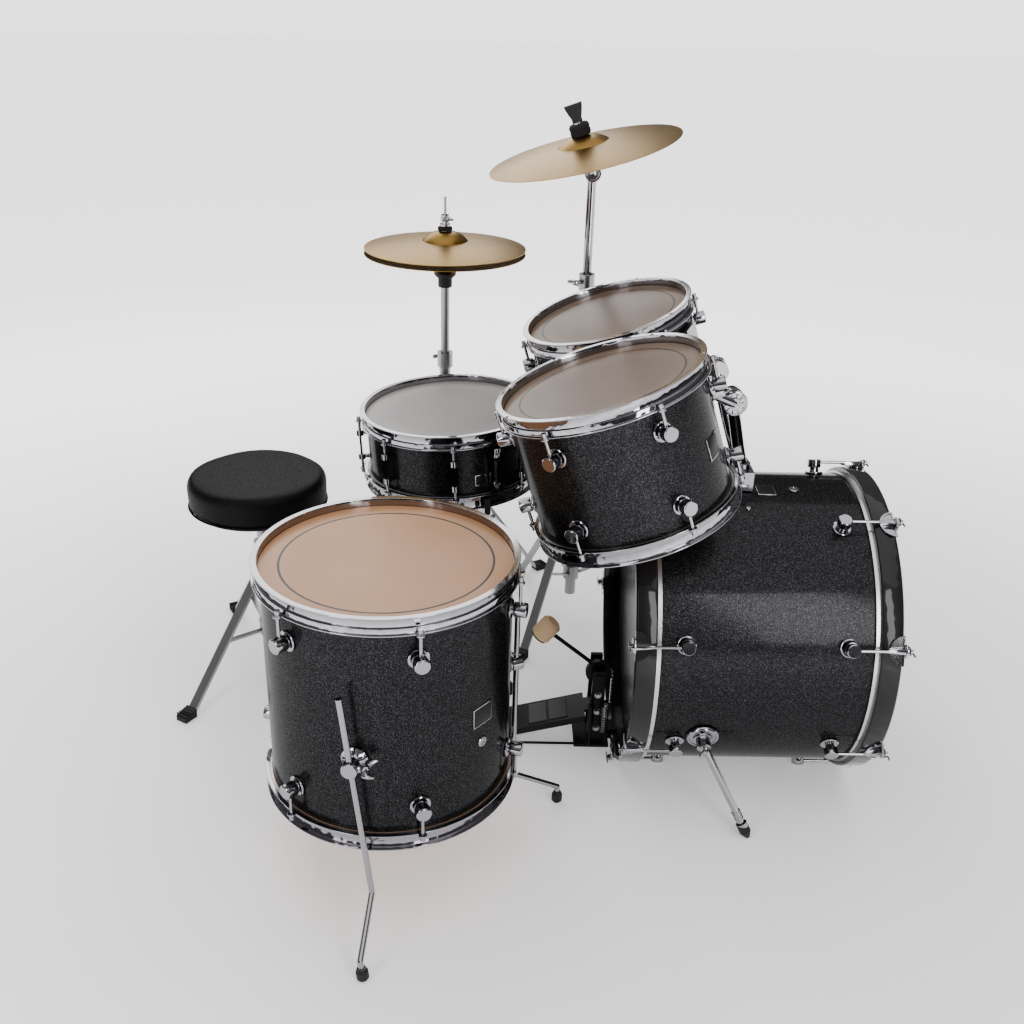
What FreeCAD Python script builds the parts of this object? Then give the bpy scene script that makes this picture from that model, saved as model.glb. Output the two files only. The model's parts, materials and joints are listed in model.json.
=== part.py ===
"""Five-piece acoustic drum kit with cymbals, pedal and throne, in millimetres.

The frame: +Z is up, the bass drum's axis runs along Y with the drummer on the +Y side, and the
origin is on the floor under the bass pedal's axle, on the bass drum's centre line.
"""
import FreeCAD, Part
import math
import os
import re
import Sketcher

V = FreeCAD.Vector
X_AXIS, Y_AXIS, Z_AXIS = V(1, 0, 0), V(0, 1, 0), V(0, 0, 1)

# ---------------------------------------------------------------- driving dimensions
SIZES = {
    # running clearances and common stock
    "seat_gap": 0.3,             # between a piece and the one that carries it
    "run_gap": 0.4,              # between a piece and one that moves past it
    "shaft_gap": 0.08,           # round an axle in its bore
    "film": 0.5,                 # drumhead film
    "hoop_sheet": 2.3,           # rolled steel of a counterhoop
    "flesh_hoop_width": 5.0,
    "flesh_hoop_height": 8.0,
    "collar": 6.0,               # bearing edge down to the top of the flesh hoop
    "rim_rise": 14.0,            # top flange above the drumhead
    "rim_flange": 8.0,           # top flange, outwards from the upper wall
    "skirt_drop": 9.0,           # lower flange below the top of the flesh hoop
    "skirt_flange": 4.5,
    "ear_radius": 7.0,
    "ear_thick": 3.0,
    "rod_radius": 2.8,
    "rod_offset": 16.0,          # tension rod axis outside the shell
    "rod_head_radius": 4.2,
    "rod_head_height": 9.0,
    "lug_base_radius": 17.0,
    "lug_base_thick": 3.5,
    "lug_stem_radius": 8.5,
    "lug_barrel_radius": 12.5,
    "lug_barrel_start": 7.0,
    "lug_reach": 28.0,           # flat cap outside the shell
    "lug_pit": 7.0,              # depth of the rod in the barrel
    # bass drum, 22 by 16 inches
    "bass_radius": 279.4,
    "bass_depth": 400.0,
    "bass_wall": 8.0,
    "bass_hoop_out": 13.6,       # hoop's outside beyond the shell
    "bass_hoop_width": 38.0,
    "bass_lug_inset": 58.0,
    "bass_lugs": 8,
    "bass_lug_turn": 18.0,
    "bass_back": 63.0,           # pedal's axle to the shell's batter edge
    "bass_lug_start": 12.0,
    "bass_lug_reach": 28.0,
    "claw_width": 24.0,
    "claw_ear": 5.0,             # claw metal outside the T-rod's axis
    "claw_sheet": 3.5,
    "claw_reach": 46.0,
    "t_bar_length": 40.0,
    "bass_rod_offset": 22.0,
    # floor tom, 16 by 16 inches
    "floor_radius": 203.2,
    "floor_depth": 395.0,
    "floor_wall": 6.5,
    "floor_lug_inset": 62.0,
    "floor_lugs": 6,
    "floor_lug_turn": 18.0,
    "floor_x": -327.0,
    "floor_y": 387.0,
    "floor_top": 585.0,
    "floor_leg_turn": 50.0,
    "leg_lean_back": 0.0,
    "leg_lean_outer": 6.4,       # about the radial line through its clamp
    "leg_lean_front": 0.0,
    "leg_radius": 5.0,
    "leg_offset": 25.0,
    "leg_top": 455.0,
    "leg_knee": 88.0,
    "leg_kick": 92.0,
    "leg_ankle": 34.0,
    "leg_clamp_height": 330.0,
    "leg_clamp_tall": 44.0,
    "leg_clamp_wide": 30.0,
    "foot_radius": 10.0,
    "foot_height": 24.0,
    # rack toms
    "tom_near_radius": 165.1,
    "tom_near_depth": 231.0,
    "tom_near_x": -184.5,
    "tom_near_y": 51.0,
    "tom_near_top": 252.0,       # above the bass drum's hoops
    "tom_near_lean": 18.4,
    "tom_near_roll": 1.1,
    "tom_near_lug_turn": 25.0,
    "tom_near_mount_turn": -65.0,
    "tom_far_radius": 152.4,
    "tom_far_depth": 212.0,
    "tom_far_x": 178.5,
    "tom_far_y": 11.0,
    "tom_far_top": 264.0,
    "tom_far_lean": 16.7,
    "tom_far_roll": -2.5,
    "tom_far_lug_turn": 32.0,
    "tom_far_mount_turn": -118.0,
    "tom_wall": 6.0,
    "tom_lug_inset": 52.0,
    "tom_lugs": 6,
    # snare drum, 14 by 5.5 inches
    "snare_radius": 177.8,
    "snare_depth": 134.0,
    "snare_wall": 6.0,
    "snare_lugs": 8,
    "snare_lug_turn": 4.0,
    "snare_x": 321.0,
    "snare_y": 314.5,
    "snare_top": 605.0,
    "snare_lean": 3.0,
    "snare_roll": -1.1,
    "tube_lug_half": 33.0,
    "tube_lug_radius": 9.0,
    "wires_half_width": 21.0,
    "wires_short": 5.8,          # ends of the wires inside the shell's edge
    # tom holder on the bass drum
    "post_y": -235.0,
    "post_spread": 24.0,
    "post_radius": 11.0,
    "post_turn": 37.0,           # azimuth of the bend, from the x axis
    "post_foot": 9.0,            # below the bass drum's hoops
    "post_straight": 33.0,       # above them, as are the next two heights
    "post_knee": 79.0,
    "post_knee_out": 24.0,
    "post_head": 179.0,
    "post_head_out": 70.0,
    "ratchet_radius": 21.0,
    "ratchet_half": 12.0,
    "mount_half_length": 24.0,
    "mount_half_width": 38.0,
    "mount_height": 36.0,
    "tom_plate_tall": 84.0,
    "tom_plate_wide": 46.0,
    "tom_plate_thick": 10.0,
    "tom_plate_rise": 30.0,
    "tom_arm_radius": 8.0,
    "spur_from_lugs": 48.0,      # bracket's middle to the row of lugs
    "spur_bracket_angle": 23.0,
    "spur_splay": 33.6,          # foot's tip beyond the shell's side
    "spur_foot_along": 0.0,
    "spur_radius": 6.5,
    "spur_tip_radius": 4.0,
    "spur_plate_radius": 24.0,
    "spur_boss_radius": 13.0,
    "spur_boss_height": 13.0,
    # cymbals
    "hat_radius": 177.8,
    "hat_bow": 16.0,
    "hat_bell_radius": 50.0,
    "hat_bell_height": 21.0,
    "hat_thick": 1.4,
    "hat_x": 560.0,
    "hat_y": 336.0,
    "hat_edge": 882.0,
    "hat_open": 11.0,
    "crash_radius": 203.2,
    "crash_bow": 17.0,
    "crash_bell_radius": 54.0,
    "crash_bell_height": 16.0,
    "crash_thick": 1.3,
    "crash_x": 494.0,
    "crash_y": 26.0,
    "crash_pivot": 1060.0,
    "crash_post": 77.0,
    "crash_lean": 14.2,
    "crash_post_lean": 20.0,     # the tilter's bolt leans more than the cymbal that rests on it
    "crash_roll": -2.7,
    "crash_wing_turn": 120.0,    # azimuth of the height clamp's wing bolt
    "cheek_gap": 2.0,            # between the upper tube and the tilter's cheeks
    "saddle_gap": 0.8,           # between the wheel and the foot of the bolt
    # stands
    "base_tube": 12.7,
    "mid_tube": 9.5,
    "collar_radius": 19.0,
    "collar_height": 34.0,
    "leg_bar_width": 20.0,
    "leg_bar_thick": 7.0,
    "brace_width": 12.0,
    "brace_thick": 4.0,
    "hat_hub": 385.0,
    "hat_reach": 305.0,
    "hat_turn": 65.0,
    "hat_pedal_turn": 35.0,      # about the upright tube, from straight ahead of the drummer
    "hat_tube_foot": 112.0,
    "hat_tube_top": 645.0,
    "hat_brace": 190.0,
    "pull_rod": 3.2,
    "hat_rod_top": 991.0,
    "clutch_radius": 9.0,
    "hat_cup": 826.0,
    "crash_hub": 330.0,
    "crash_reach": 255.0,
    "crash_turn": 30.0,
    "crash_tube_top": 813.0,
    "crash_brace": 120.0,
    "crash_tube_end": 560.0,
    "tilter_radius": 17.0,
    "tilter_half": 9.0,
    "post_bolt": 4.0,
    "wobble_gap": 0.9,           # above and below a cymbal that rocks on its felts
    "snare_hub": 265.0,
    "snare_reach": 225.0,
    "snare_turn": -25.0,
    "snare_brace": 160.0,
    "snare_tube_foot": 122.0,
    "basket_turn": 202.5,
    "basket_drop": 46.0,
    "snare_stem": 120.0,         # length of the stem inside the stand's tube
    "snare_tube_gap": 2.0,       # between the tube's end and the leaning hub
    "basket_width": 13.0,
    "strainer_turn": 211.0,
    "strainer_reach": 18.0,
    "strainer_low": -46.0,
    "strainer_high": 26.0,
    "strainer_width": 30.0,
    "wire_radius": 0.8,
    "wire_count": 20,
    "throne_x": 250.0,
    "throne_y": 717.0,
    "throne_hub": 245.0,
    "throne_reach": 268.0,
    "throne_turn": 29.0,
    "throne_wing_turn": 200.0,
    "throne_tube_top": 310.0,
    "throne_brace": 96.0,
    "throne_post_foot": 150.0,
    "throne_pan": 6.0,
    "throne_seat_radius": 152.0,
    "throne_seat_thick": 74.0,
    "throne_seat_top": 468.0,
    "throne_seat_edge": 14.0,    # round of the cushion's top edge
    "throne_seat_hem": 6.0,      # how far its underside is drawn in
    # bass pedal
    "jaw_thick": 3.0,
    "jaw_bite": 20.0,
    "base_front": 26.0,
    "base_back": 44.0,
    "base_width": 96.0,
    "base_thick": 6.0,
    "tower_gap": 56.0,
    "tower_thick": 10.0,
    "tower_depth": 32.0,
    "axle_height": 162.0,
    "axle_radius": 6.0,
    "cam_radius": 26.0,
    "cam_width": 10.0,
    "cam_x": 15.0,
    "hub_radius": 13.0,
    "beater_reach": 139.0,
    "beater_back": 51.0,
    "beater_radius": 21.0,
    "beater_length": 46.0,
    "shaft_radius": 4.0,
    "shaft_tail": 40.0,
    "heel_y": 205.0,
    "heel_height": 20.0,
    "heel_plate": 56.0,
    "board_reach": 222.0,
    "board_width": 84.0,
    "board_thick": 6.0,
    "board_neck": 24.0,          # where the board narrows to pass between the towers
    "toe_width": 44.0,
    "board_slope": 14.5,
    "frame_wire": 2.6,
    "chain_width": 9.0,
    "chain_thick": 4.0,
    "hat_heel": 262.0,
    "hat_board_slope": 8.0,
    "hat_board_reach": 280.0,
    "hat_board_width": 80.0,
    "hat_board_neck": 26.0,
}

doc = FreeCAD.newDocument("drum_kit")
sheet = doc.addObject("Spreadsheet::Sheet", "sizes")
for row, (name, value) in enumerate(SIZES.items(), start=1):
    sheet.set("A%d" % row, name)
    sheet.set("B%d" % row, str(value))
    sheet.setAlias("B%d" % row, name)
doc.recompute()

ALIAS = re.compile(r"[a-z][a-z_0-9]*")
nodes = {}


def bound(expression):
    """An expression in which each driving dimension is read from the sheet."""
    def from_sheet(word):
        return "sizes." + word.group(0) if word.group(0) in SIZES else word.group(0)
    return ALIAS.sub(from_sheet, expression)


def number(expression):
    """The present value of an expression of driving dimensions."""
    return float(sheet.evalExpression(bound(expression)))


# places on the bass drum that several pieces share
BASS_HOOP = "(bass_radius + bass_hoop_out)"
BASS_HIGH = "(" + BASS_HOOP + " + jaw_thick)"
BASS_TOP = "(2*" + BASS_HOOP + " + jaw_thick)"
BASS_MIDDLE = "(-bass_back - bass_depth/2)"
SPUR_ALONG = "(" + BASS_MIDDLE + " + bass_depth/2 - bass_lug_inset - spur_from_lugs)"


def place(x=0.0, y=0.0, z=0.0, lean=0.0, roll=0.0, spin=0.0):
    """A placement: spun about Z, rolled about Y, then leaned towards +Y."""
    turn = FreeCAD.Rotation(X_AXIS, -lean) * FreeCAD.Rotation(Y_AXIS, roll) * FreeCAD.Rotation(Z_AXIS, spin)
    return FreeCAD.Placement(V(x, y, z), turn)


def aimed(start, end):
    """A placement at start whose Z axis points to end."""
    return FreeCAD.Placement(start, FreeCAD.Rotation(Z_AXIS, end - start))


def new_body(label, where=None):
    body = doc.addObject("PartDesign::Body", label)
    body.Label = label
    body.AllowCompound = True
    body.Placement = where or FreeCAD.Placement()
    return body


def origin_of(body, role):
    return [item for item in body.Origin.OriginFeatures if item.Role == role][0]


def fix_point(drawing, index, corner):
    """Tie the start of one line to its two distances from the sketch's origin."""
    for kind, axis, distance in (("DistanceX", -2, corner[0]), ("DistanceY", -1, corner[1])):
        if distance == "0":
            drawing.addConstraint(Sketcher.Constraint("PointOnObject", index, 1, axis))
        else:
            tie = Sketcher.Constraint(kind, -1, 1, index, 1, number(distance))
            drawing.setExpression("Constraints[%d]" % drawing.addConstraint(tie), bound(distance))


def sketch(body, corners, on="XZ_Plane", right="0", up="0", out="0", bows=None, closed=True):
    """A sketch through the corners, each a pair of expressions; bows holds a third point for an arc."""
    drawing = body.newObject("Sketcher::SketchObject", body.Label + "_sketch")
    drawing.AttachmentSupport = [(origin_of(body, on), "")]
    drawing.MapMode = "FlatFace"
    for way, distance in (("x", right), ("y", up), ("z", out)):
        if distance != "0":
            drawing.setExpression("AttachmentOffset.Base." + way, bound(distance))
    points = [V(number(x), number(y), 0) for x, y in corners]
    lines = len(points) if closed else len(points) - 1
    for index in range(lines):
        start, end = points[index], points[(index + 1) % len(points)]
        if bows and index in bows:
            middle = V(number(bows[index][0]), number(bows[index][1]), 0)
            drawing.addGeometry(Part.Arc(start, middle, end), False)
        else:
            drawing.addGeometry(Part.LineSegment(start, end), False)
    if bows:
        fix_arcs(drawing, corners, bows, lines)
        return drawing
    for index in range(lines if closed else lines - 1):
        drawing.addConstraint(Sketcher.Constraint("Coincident", index, 2, (index + 1) % lines, 1))
    for index in range(lines):
        fix_point(drawing, index, corners[index])
    if not closed:
        fix_end(drawing, lines - 1, corners[-1])
    return drawing


def fix_end(drawing, index, corner):
    """Tie the free end of an open outline."""
    for kind, axis, distance in (("DistanceX", -2, corner[0]), ("DistanceY", -1, corner[1])):
        if distance == "0":
            drawing.addConstraint(Sketcher.Constraint("PointOnObject", index, 2, axis))
        else:
            tie = Sketcher.Constraint(kind, -1, 1, index, 2, number(distance))
            drawing.setExpression("Constraints[%d]" % drawing.addConstraint(tie), bound(distance))


def fix_arcs(drawing, corners, bows, lines):
    """Tie an outline that has arcs: every corner, and one point on each arc."""
    vertex = {}
    for index, corner in enumerate(corners):
        vertex[index] = drawing.addGeometry(Part.Point(V(number(corner[0]), number(corner[1]), 0)), True)
    for index, corner in list(enumerate(corners)):
        fix_point(drawing, vertex[index], corner)
    for index in range(lines):
        for end, corner_index in ((1, index), (2, (index + 1) % len(corners))):
            nearest = end
            if bows and index in bows:
                spot = V(number(corners[corner_index][0]), number(corners[corner_index][1]), 0)
                first = drawing.getPoint(index, 1)
                nearest = 1 if (first - spot).Length < 1e-6 else 2
            drawing.addConstraint(Sketcher.Constraint("Coincident", index, nearest, vertex[corner_index], 1))
    for index, middle in bows.items():
        spot = drawing.addGeometry(Part.Point(V(number(middle[0]), number(middle[1]), 0)), True)
        fix_point(drawing, spot, middle)
        drawing.addConstraint(Sketcher.Constraint("PointOnObject", spot, 1, index))


def revolve(body, corners, about="V_Axis", cut=False, **where):
    """A full turn of an outline about one of its sketch's axes, added or cut away."""
    profile = sketch(body, corners, **where)
    kind = "PartDesign::Groove" if cut else "PartDesign::Revolution"
    feature = body.newObject(kind, body.Label + "_turned")
    feature.Profile = profile
    feature.ReferenceAxis = (profile, [about])
    feature.Angle = 360
    return feature


def pad(body, corners, width, cut=False, **where):
    """An outline given a width, half to each side of its sketch."""
    profile = sketch(body, corners, **where)
    feature = body.newObject("PartDesign::Pocket" if cut else "PartDesign::Pad", body.Label + "_pad")
    feature.Profile = profile
    feature.SideType = "Symmetric"
    feature.setExpression("Length", bound(width))
    return feature


def around(body, features, count, on="Z_Axis"):
    """Repeat features evenly around one of the body's axes."""
    doc.recompute()
    pattern = body.newObject("PartDesign::PolarPattern", body.Label + "_ring")
    pattern.Originals = features
    pattern.Axis = (origin_of(body, on), [""])
    pattern.Angle = 360
    pattern.setExpression("Occurrences", bound(count))
    body.Tip = pattern
    return pattern


def box_outline(x0, x1, y0, y1):
    return [(x0, y0), (x1, y0), (x1, y1), (x0, y1)]


def disc(body, radius, low, high, inner="0", **where):
    """A cylinder, or a ring, about the sketch's own upright axis."""
    return revolve(body, box_outline(inner, radius, low, high), **where)


def bolt_hole(body, radius, low, high, **where):
    """A round hole about the sketch's own upright axis."""
    return revolve(body, box_outline("0", radius, low, high), cut=True, **where)


def pipe(body, points, radius):
    """A round bar along a line of points in the body's XZ plane, from the first point upwards."""
    path = sketch(body, points, closed=False)
    section = body.newObject("Sketcher::SketchObject", body.Label + "_section")
    section.AttachmentSupport = [(origin_of(body, "XY_Plane"), "")]
    section.MapMode = "FlatFace"
    section.setExpression("AttachmentOffset.Base.x", bound(points[0][0]))
    section.setExpression("AttachmentOffset.Base.z", bound(points[0][1]))
    section.addGeometry(Part.Circle(V(0, 0, 0), Z_AXIS, number(radius)), False)
    section.addConstraint(Sketcher.Constraint("Coincident", 0, 3, -1, 1))
    size = section.addConstraint(Sketcher.Constraint("Radius", 0, number(radius)))
    section.setExpression("Constraints[%d]" % size, bound(radius))
    feature = body.newObject("PartDesign::AdditivePipe", body.Label + "_pipe")
    feature.Profile = section
    feature.Spine = path
    feature.Transition = "Round corner"
    return feature


def keep(label, piece):
    """Name a finished piece as a sub-part that gets its own file."""
    piece.Label = label
    nodes[label] = piece
    return piece


def group(label, pieces):
    """Several separate solids under one name."""
    whole = doc.addObject("Part::Compound", label)
    whole.Links = pieces
    return keep(label, whole)


# ---------------------------------------------------------------- drums, each about its own axis, batter side up
def drum(name, key, lugs, inset, start="lug_barrel_start", reach="lug_reach", offset="rod_offset"):
    """The expressions that one drum's pieces share; key starts the names of its dimensions."""
    size = {"name": name, "radius": key + "_radius", "depth": key + "_depth", "turn": number(key + "_lug_turn")}
    size.update(lugs=lugs, inset=inset, start=start, reach=reach)
    size["edge"] = size["depth"] + "/2"
    size["flesh_top"] = size["depth"] + "/2 - collar"
    size["flesh_inner"] = size["radius"] + " + seat_gap"
    size["flesh_outer"] = size["flesh_inner"] + " + flesh_hoop_width"
    size["rim_top"] = size["edge"] + " + film + rim_rise"
    size["skirt"] = size["flesh_top"] + " - skirt_drop"
    size["rod"] = size["radius"] + " + " + offset
    size["lug_height"] = size["edge"] + " - " + inset
    return size


def drum_place(name, under="0"):
    """Where a drum's middle stands, from the middle of its batter rim and the height it is measured from."""
    rim = place(number(name + "_x"), number(name + "_y"), number(under + " + " + name + "_top"),
                number(name + "_lean"), number(name + "_roll"))
    down = number("%s_depth/2 + film + rim_rise" % name)
    return rim * place(z=-down)


def turned(where, angle):
    return where * place(spin=angle)


def mirrored(corners, side):
    """An outline above the middle (side 1), or its mirror image below it (side -1)."""
    return [(x, y) if side > 0 else (x, "-(" + y + ")") for x, y in corners]


def shell(size, wall, where):
    body = new_body(size["name"] + "_shell", where)
    radius, edge = size["radius"], size["edge"]
    corners = [(radius + " - " + wall, "-(" + edge + " - " + wall + ")"), (radius + " - 2", "-(" + edge + ")"),
               (radius, "-(" + edge + " - 2)"), (radius, edge + " - 2"), (radius + " - 2", edge),
               (radius + " - " + wall, edge + " - " + wall)]
    revolve(body, corners)
    return body


def heads(size, where):
    """Two films over the bearing edges, each with its flesh hoop."""
    body = new_body(size["name"] + "_heads", where)
    skin = size["flesh_inner"] + " + film"
    for side in (1, -1):
        corners = [("0", size["edge"]), (size["flesh_inner"], size["edge"]),
                   (size["flesh_inner"], size["flesh_top"] + " - flesh_hoop_height"),
                   (size["flesh_outer"], size["flesh_top"] + " - flesh_hoop_height"),
                   (size["flesh_outer"], size["flesh_top"]), (skin, size["flesh_top"]),
                   (skin, size["edge"] + " + film"), ("0", size["edge"] + " + film")]
        revolve(body, mirrored(corners, side))
    return body


def hoops(size, where):
    """Two triple-flanged counterhoops with an ear and a hole at each tension rod."""
    body = new_body(size["name"] + "_hoops", turned(where, size["turn"]))
    wall_in = size["flesh_outer"] + " + seat_gap"
    wall_out = wall_in + " + hoop_sheet"
    upper_in = size["flesh_inner"] + " + film + 2*seat_gap"
    upper_out = upper_in + " + hoop_sheet"
    skirt, step, top = size["skirt"], size["flesh_top"], size["rim_top"]
    ears = []
    for side in (1, -1):
        corners = [(wall_in, skirt), (wall_out + " + skirt_flange", skirt),
                   (wall_out + " + skirt_flange", skirt + " + hoop_sheet"), (wall_out, skirt + " + hoop_sheet"),
                   (wall_out, step + " + hoop_sheet"), (upper_out, step + " + hoop_sheet"),
                   (upper_out, top + " - hoop_sheet"), (upper_out + " + rim_flange", top + " - hoop_sheet"),
                   (upper_out + " + rim_flange", top), (upper_in, top), (upper_in, step), (wall_in, step)]
        revolve(body, mirrored(corners, side))
    for side in (1, -1):
        low, high = ("", "") if side > 0 else ("-(", ")")
        ears.append(disc(body, "ear_radius", low + skirt + high, low + skirt + " + ear_thick" + high,
                         right=size["rod"]))
        ears.append(bolt_hole(body, "rod_radius + seat_gap", low + skirt + " - 1" + high,
                              low + skirt + " + ear_thick + 1" + high, right=size["rod"]))
    around(body, ears, size["lugs"])
    return body


def lugs(size, where):
    """Round lugs: a base ring on the shell, a stem and a flat-capped barrel that takes the rod."""
    body = new_body(size["name"] + "_lugs", turned(where, size["turn"]))
    radius = size["radius"]
    foot = radius + " + seat_gap"
    start, reach = radius + " + " + size["start"], radius + " + " + size["reach"]
    corners = [(foot, "0"), (foot, "lug_base_radius"), (foot + " + lug_base_thick - 1", "lug_base_radius"),
               (foot + " + lug_base_thick", "lug_base_radius - 2"), (foot + " + lug_base_thick", "lug_stem_radius"),
               (start, "lug_stem_radius"), (start, "lug_barrel_radius - 1"), (start + " + 1", "lug_barrel_radius"),
               (reach + " - 1.5", "lug_barrel_radius"), (reach, "lug_barrel_radius - 1.5"), (reach, "0")]
    made = []
    for side in (1, -1):
        up = size["lug_height"] if side > 0 else "-(" + size["lug_height"] + ")"
        made.append(revolve(body, corners, about="H_Axis", up=up))
    for side in (1, -1):
        low, high = ("", "") if side > 0 else ("-(", ")")
        made.append(bolt_hole(body, "rod_radius + seat_gap",
                              low + size["lug_height"] + " + lug_barrel_radius - lug_pit" + high,
                              low + size["lug_height"] + " + lug_barrel_radius + 1" + high, right=size["rod"]))
    around(body, made, size["lugs"])
    return body


def rods(size, where):
    """Square-headed tension rods from the hoop's ears down into the lugs."""
    body = new_body(size["name"] + "_rods", turned(where, size["turn"]))
    end = size["lug_height"] + " + lug_barrel_radius - lug_pit + seat_gap"
    seat = size["skirt"] + " + ear_thick"
    corners = [("0", end), ("rod_radius", end), ("rod_radius", seat), ("rod_head_radius + 1.5", seat),
               ("rod_head_radius + 1.5", seat + " + 1.5"), ("rod_head_radius", seat + " + 1.5"),
               ("rod_head_radius", seat + " + rod_head_height"), ("0", seat + " + rod_head_height")]
    made = [revolve(body, mirrored(corners, side), right=size["rod"]) for side in (1, -1)]
    around(body, made, size["lugs"])
    return body


def tuned_drum(size, wall, where):
    """Shell, heads, hoops, lugs and rods of a drum with pressed hoops."""
    for make in (heads, hoops, lugs, rods):
        keep(size["name"] + "_" + make.__name__, make(size, where))
    keep(size["name"] + "_shell", shell(size, wall, where))


# ---------------------------------------------------------------- bass drum
def bass_pieces(size, where):
    """The bass drum has wooden hoops held by claws with T-headed rods."""
    keep("bass_shell", shell(size, "bass_wall", where))
    keep("bass_heads", heads(size, where))
    keep("bass_lugs", lugs(size, where))
    inner = size["flesh_inner"] + " + film + 2*seat_gap"
    face = size["flesh_top"] + " + bass_hoop_width"
    hoop = new_body("bass_hoops", where)
    for side in (1, -1):
        corners = [(inner, size["flesh_top"]), (BASS_HOOP + " - 2", size["flesh_top"]),
                   (BASS_HOOP, size["flesh_top"] + " + 2"), (BASS_HOOP, face + " - 3"),
                   (BASS_HOOP + " - 3", face), (inner + " + 2", face), (inner, face + " - 2")]
        revolve(hoop, mirrored(corners, side))
    keep("bass_hoops", hoop)
    keep("bass_claws", bass_claws(size, where, inner, face))
    keep("bass_t_rods", bass_t_rods(size, where, face))


def bass_claws(size, where, inner, face):
    body = new_body("bass_claws", turned(where, size["turn"]))
    skirt_in = BASS_HOOP + " + seat_gap"
    ear_out = size["rod"] + " + claw_ear"
    corners = [(inner + " + 3", face), (skirt_in, face), (skirt_in, face + " - claw_reach"),
               (skirt_in + " + claw_sheet", face + " - claw_reach"), (skirt_in + " + claw_sheet", face + " - 14"),
               (ear_out, face + " - 5"), (ear_out, face + " + claw_sheet"), (inner + " + 3", face + " + claw_sheet")]
    made = [pad(body, mirrored(corners, side), "claw_width") for side in (1, -1)]
    for side in (1, -1):
        low, high = ("", "") if side > 0 else ("-(", ")")
        made.append(bolt_hole(body, "rod_radius + seat_gap", low + face + " - 20" + high,
                              low + face + " + claw_sheet + 1" + high, right=size["rod"]))
    around(body, made, size["lugs"])
    return body


def bass_t_rods(size, where, face):
    body = new_body("bass_t_rods", turned(where, size["turn"]))
    end = size["lug_height"] + " + lug_barrel_radius - lug_pit + seat_gap"
    seat = face + " + claw_sheet"
    stem = [("0", end), ("rod_radius", end), ("rod_radius", seat), ("rod_head_radius + 1", seat),
            ("rod_head_radius + 1", seat + " + 7"), ("0", seat + " + 7")]
    bar = [("-rod_radius", seat + " + 2"), ("rod_radius", seat + " + 2"),
           ("rod_radius", seat + " + 7"), ("-rod_radius", seat + " + 7")]
    made = []
    for side in (1, -1):
        made.append(revolve(body, mirrored(stem, side), right=size["rod"]))
        made.append(pad(body, mirrored(bar, side), "t_bar_length", right=size["rod"]))
    around(body, made, size["lugs"])
    return body


def drum_side(radius_name, along, angle):
    """A placement on the bass shell: Z points out of the shell, Y along the drum's axis."""
    out = V(math.cos(math.radians(angle)), 0, math.sin(math.radians(angle)))
    centre = V(0, number(along), number(BASS_HIGH))
    turn = FreeCAD.Rotation(Y_AXIS.cross(out), Y_AXIS, out, "ZYX")
    return FreeCAD.Placement(centre + out * number(radius_name), turn)


def spur_line(side):
    """Top and bottom of one spur: its bracket's middle and its foot on the floor."""
    angle = -number("spur_bracket_angle")
    up = math.sin(math.radians(angle))
    out = math.cos(math.radians(angle))
    reach = number("bass_radius + spur_boss_height + seat_gap + spur_radius")
    top = V(side * out * reach, number(SPUR_ALONG), number(BASS_HIGH) + up * reach)
    foot = V(side * number("bass_radius + spur_splay"), number(BASS_MIDDLE + " + spur_foot_along"), 0)
    return top, foot


def spur(label, side):
    """A tube that folds about a round knuckle on its bracket, with a rubber tip on the floor."""
    top, foot = spur_line(side)
    body = new_body(label + "_tube", aimed(top, foot))
    way = foot - top
    lean = math.hypot(way.x, way.y) / abs(way.z)
    tip = repr(round(way.Length, 3)) + " - spur_tip_radius*" + repr(round(lean, 5))
    corners = [("0", "seat_gap"), ("spur_radius", "seat_gap"), ("spur_radius", tip + " - 34"),
               ("spur_radius + 4", tip + " - 32"), ("spur_radius + 4", tip + " - 12"),
               ("spur_tip_radius", tip), ("0", tip)]
    revolve(body, corners)
    angle = -number("spur_bracket_angle") if side > 0 else 180 + number("spur_bracket_angle")
    knuckle = new_body(label + "_knuckle", drum_side("bass_radius", SPUR_ALONG, angle))
    face = "spur_boss_height + seat_gap"
    disc(knuckle, "spur_boss_radius", face, face + " + 2*spur_radius")
    whole = doc.addObject("Part::Fuse", label)
    whole.Base, whole.Tool = body, knuckle
    return keep(label, whole)


def bass_brackets():
    """Two spur brackets and the tom mount, on the bass shell."""
    pieces = []
    for side, angle in ((-1, 180 + number("spur_bracket_angle")), (1, -number("spur_bracket_angle"))):
        body = new_body("spur_bracket", drum_side("bass_radius", SPUR_ALONG, angle))
        disc(body, "spur_plate_radius", "seat_gap", "6")
        disc(body, "spur_boss_radius", "5", "spur_boss_height")
        pieces.append(body)
    mount = new_body("tom_mount", place(0, number("post_y"), number(BASS_TOP)))
    sunk = "seat_gap - bass_hoop_out"
    width, length = "mount_half_width", "mount_half_length"
    pad(mount, box_outline("-" + width, width, sunk, sunk + " + mount_height"), "2*" + length)
    for side in ("", "-"):
        bolt_hole(mount, "post_radius + seat_gap", "-post_foot - 1",
                  sunk + " + mount_height + 1", right=side + "post_spread")
    pieces.append(mount)
    return group("bass_brackets", pieces)


# ---------------------------------------------------------------- floor tom legs
def leaned_leg(where, lean):
    """The leg's own frame, turned about the radial line through the middle of its clamp."""
    middle = V(number("floor_radius + leg_offset"), 0, number("leg_clamp_height"))
    turn = FreeCAD.Placement(V(0, 0, 0), FreeCAD.Rotation(X_AXIS, lean), middle)
    return where * turn


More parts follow.
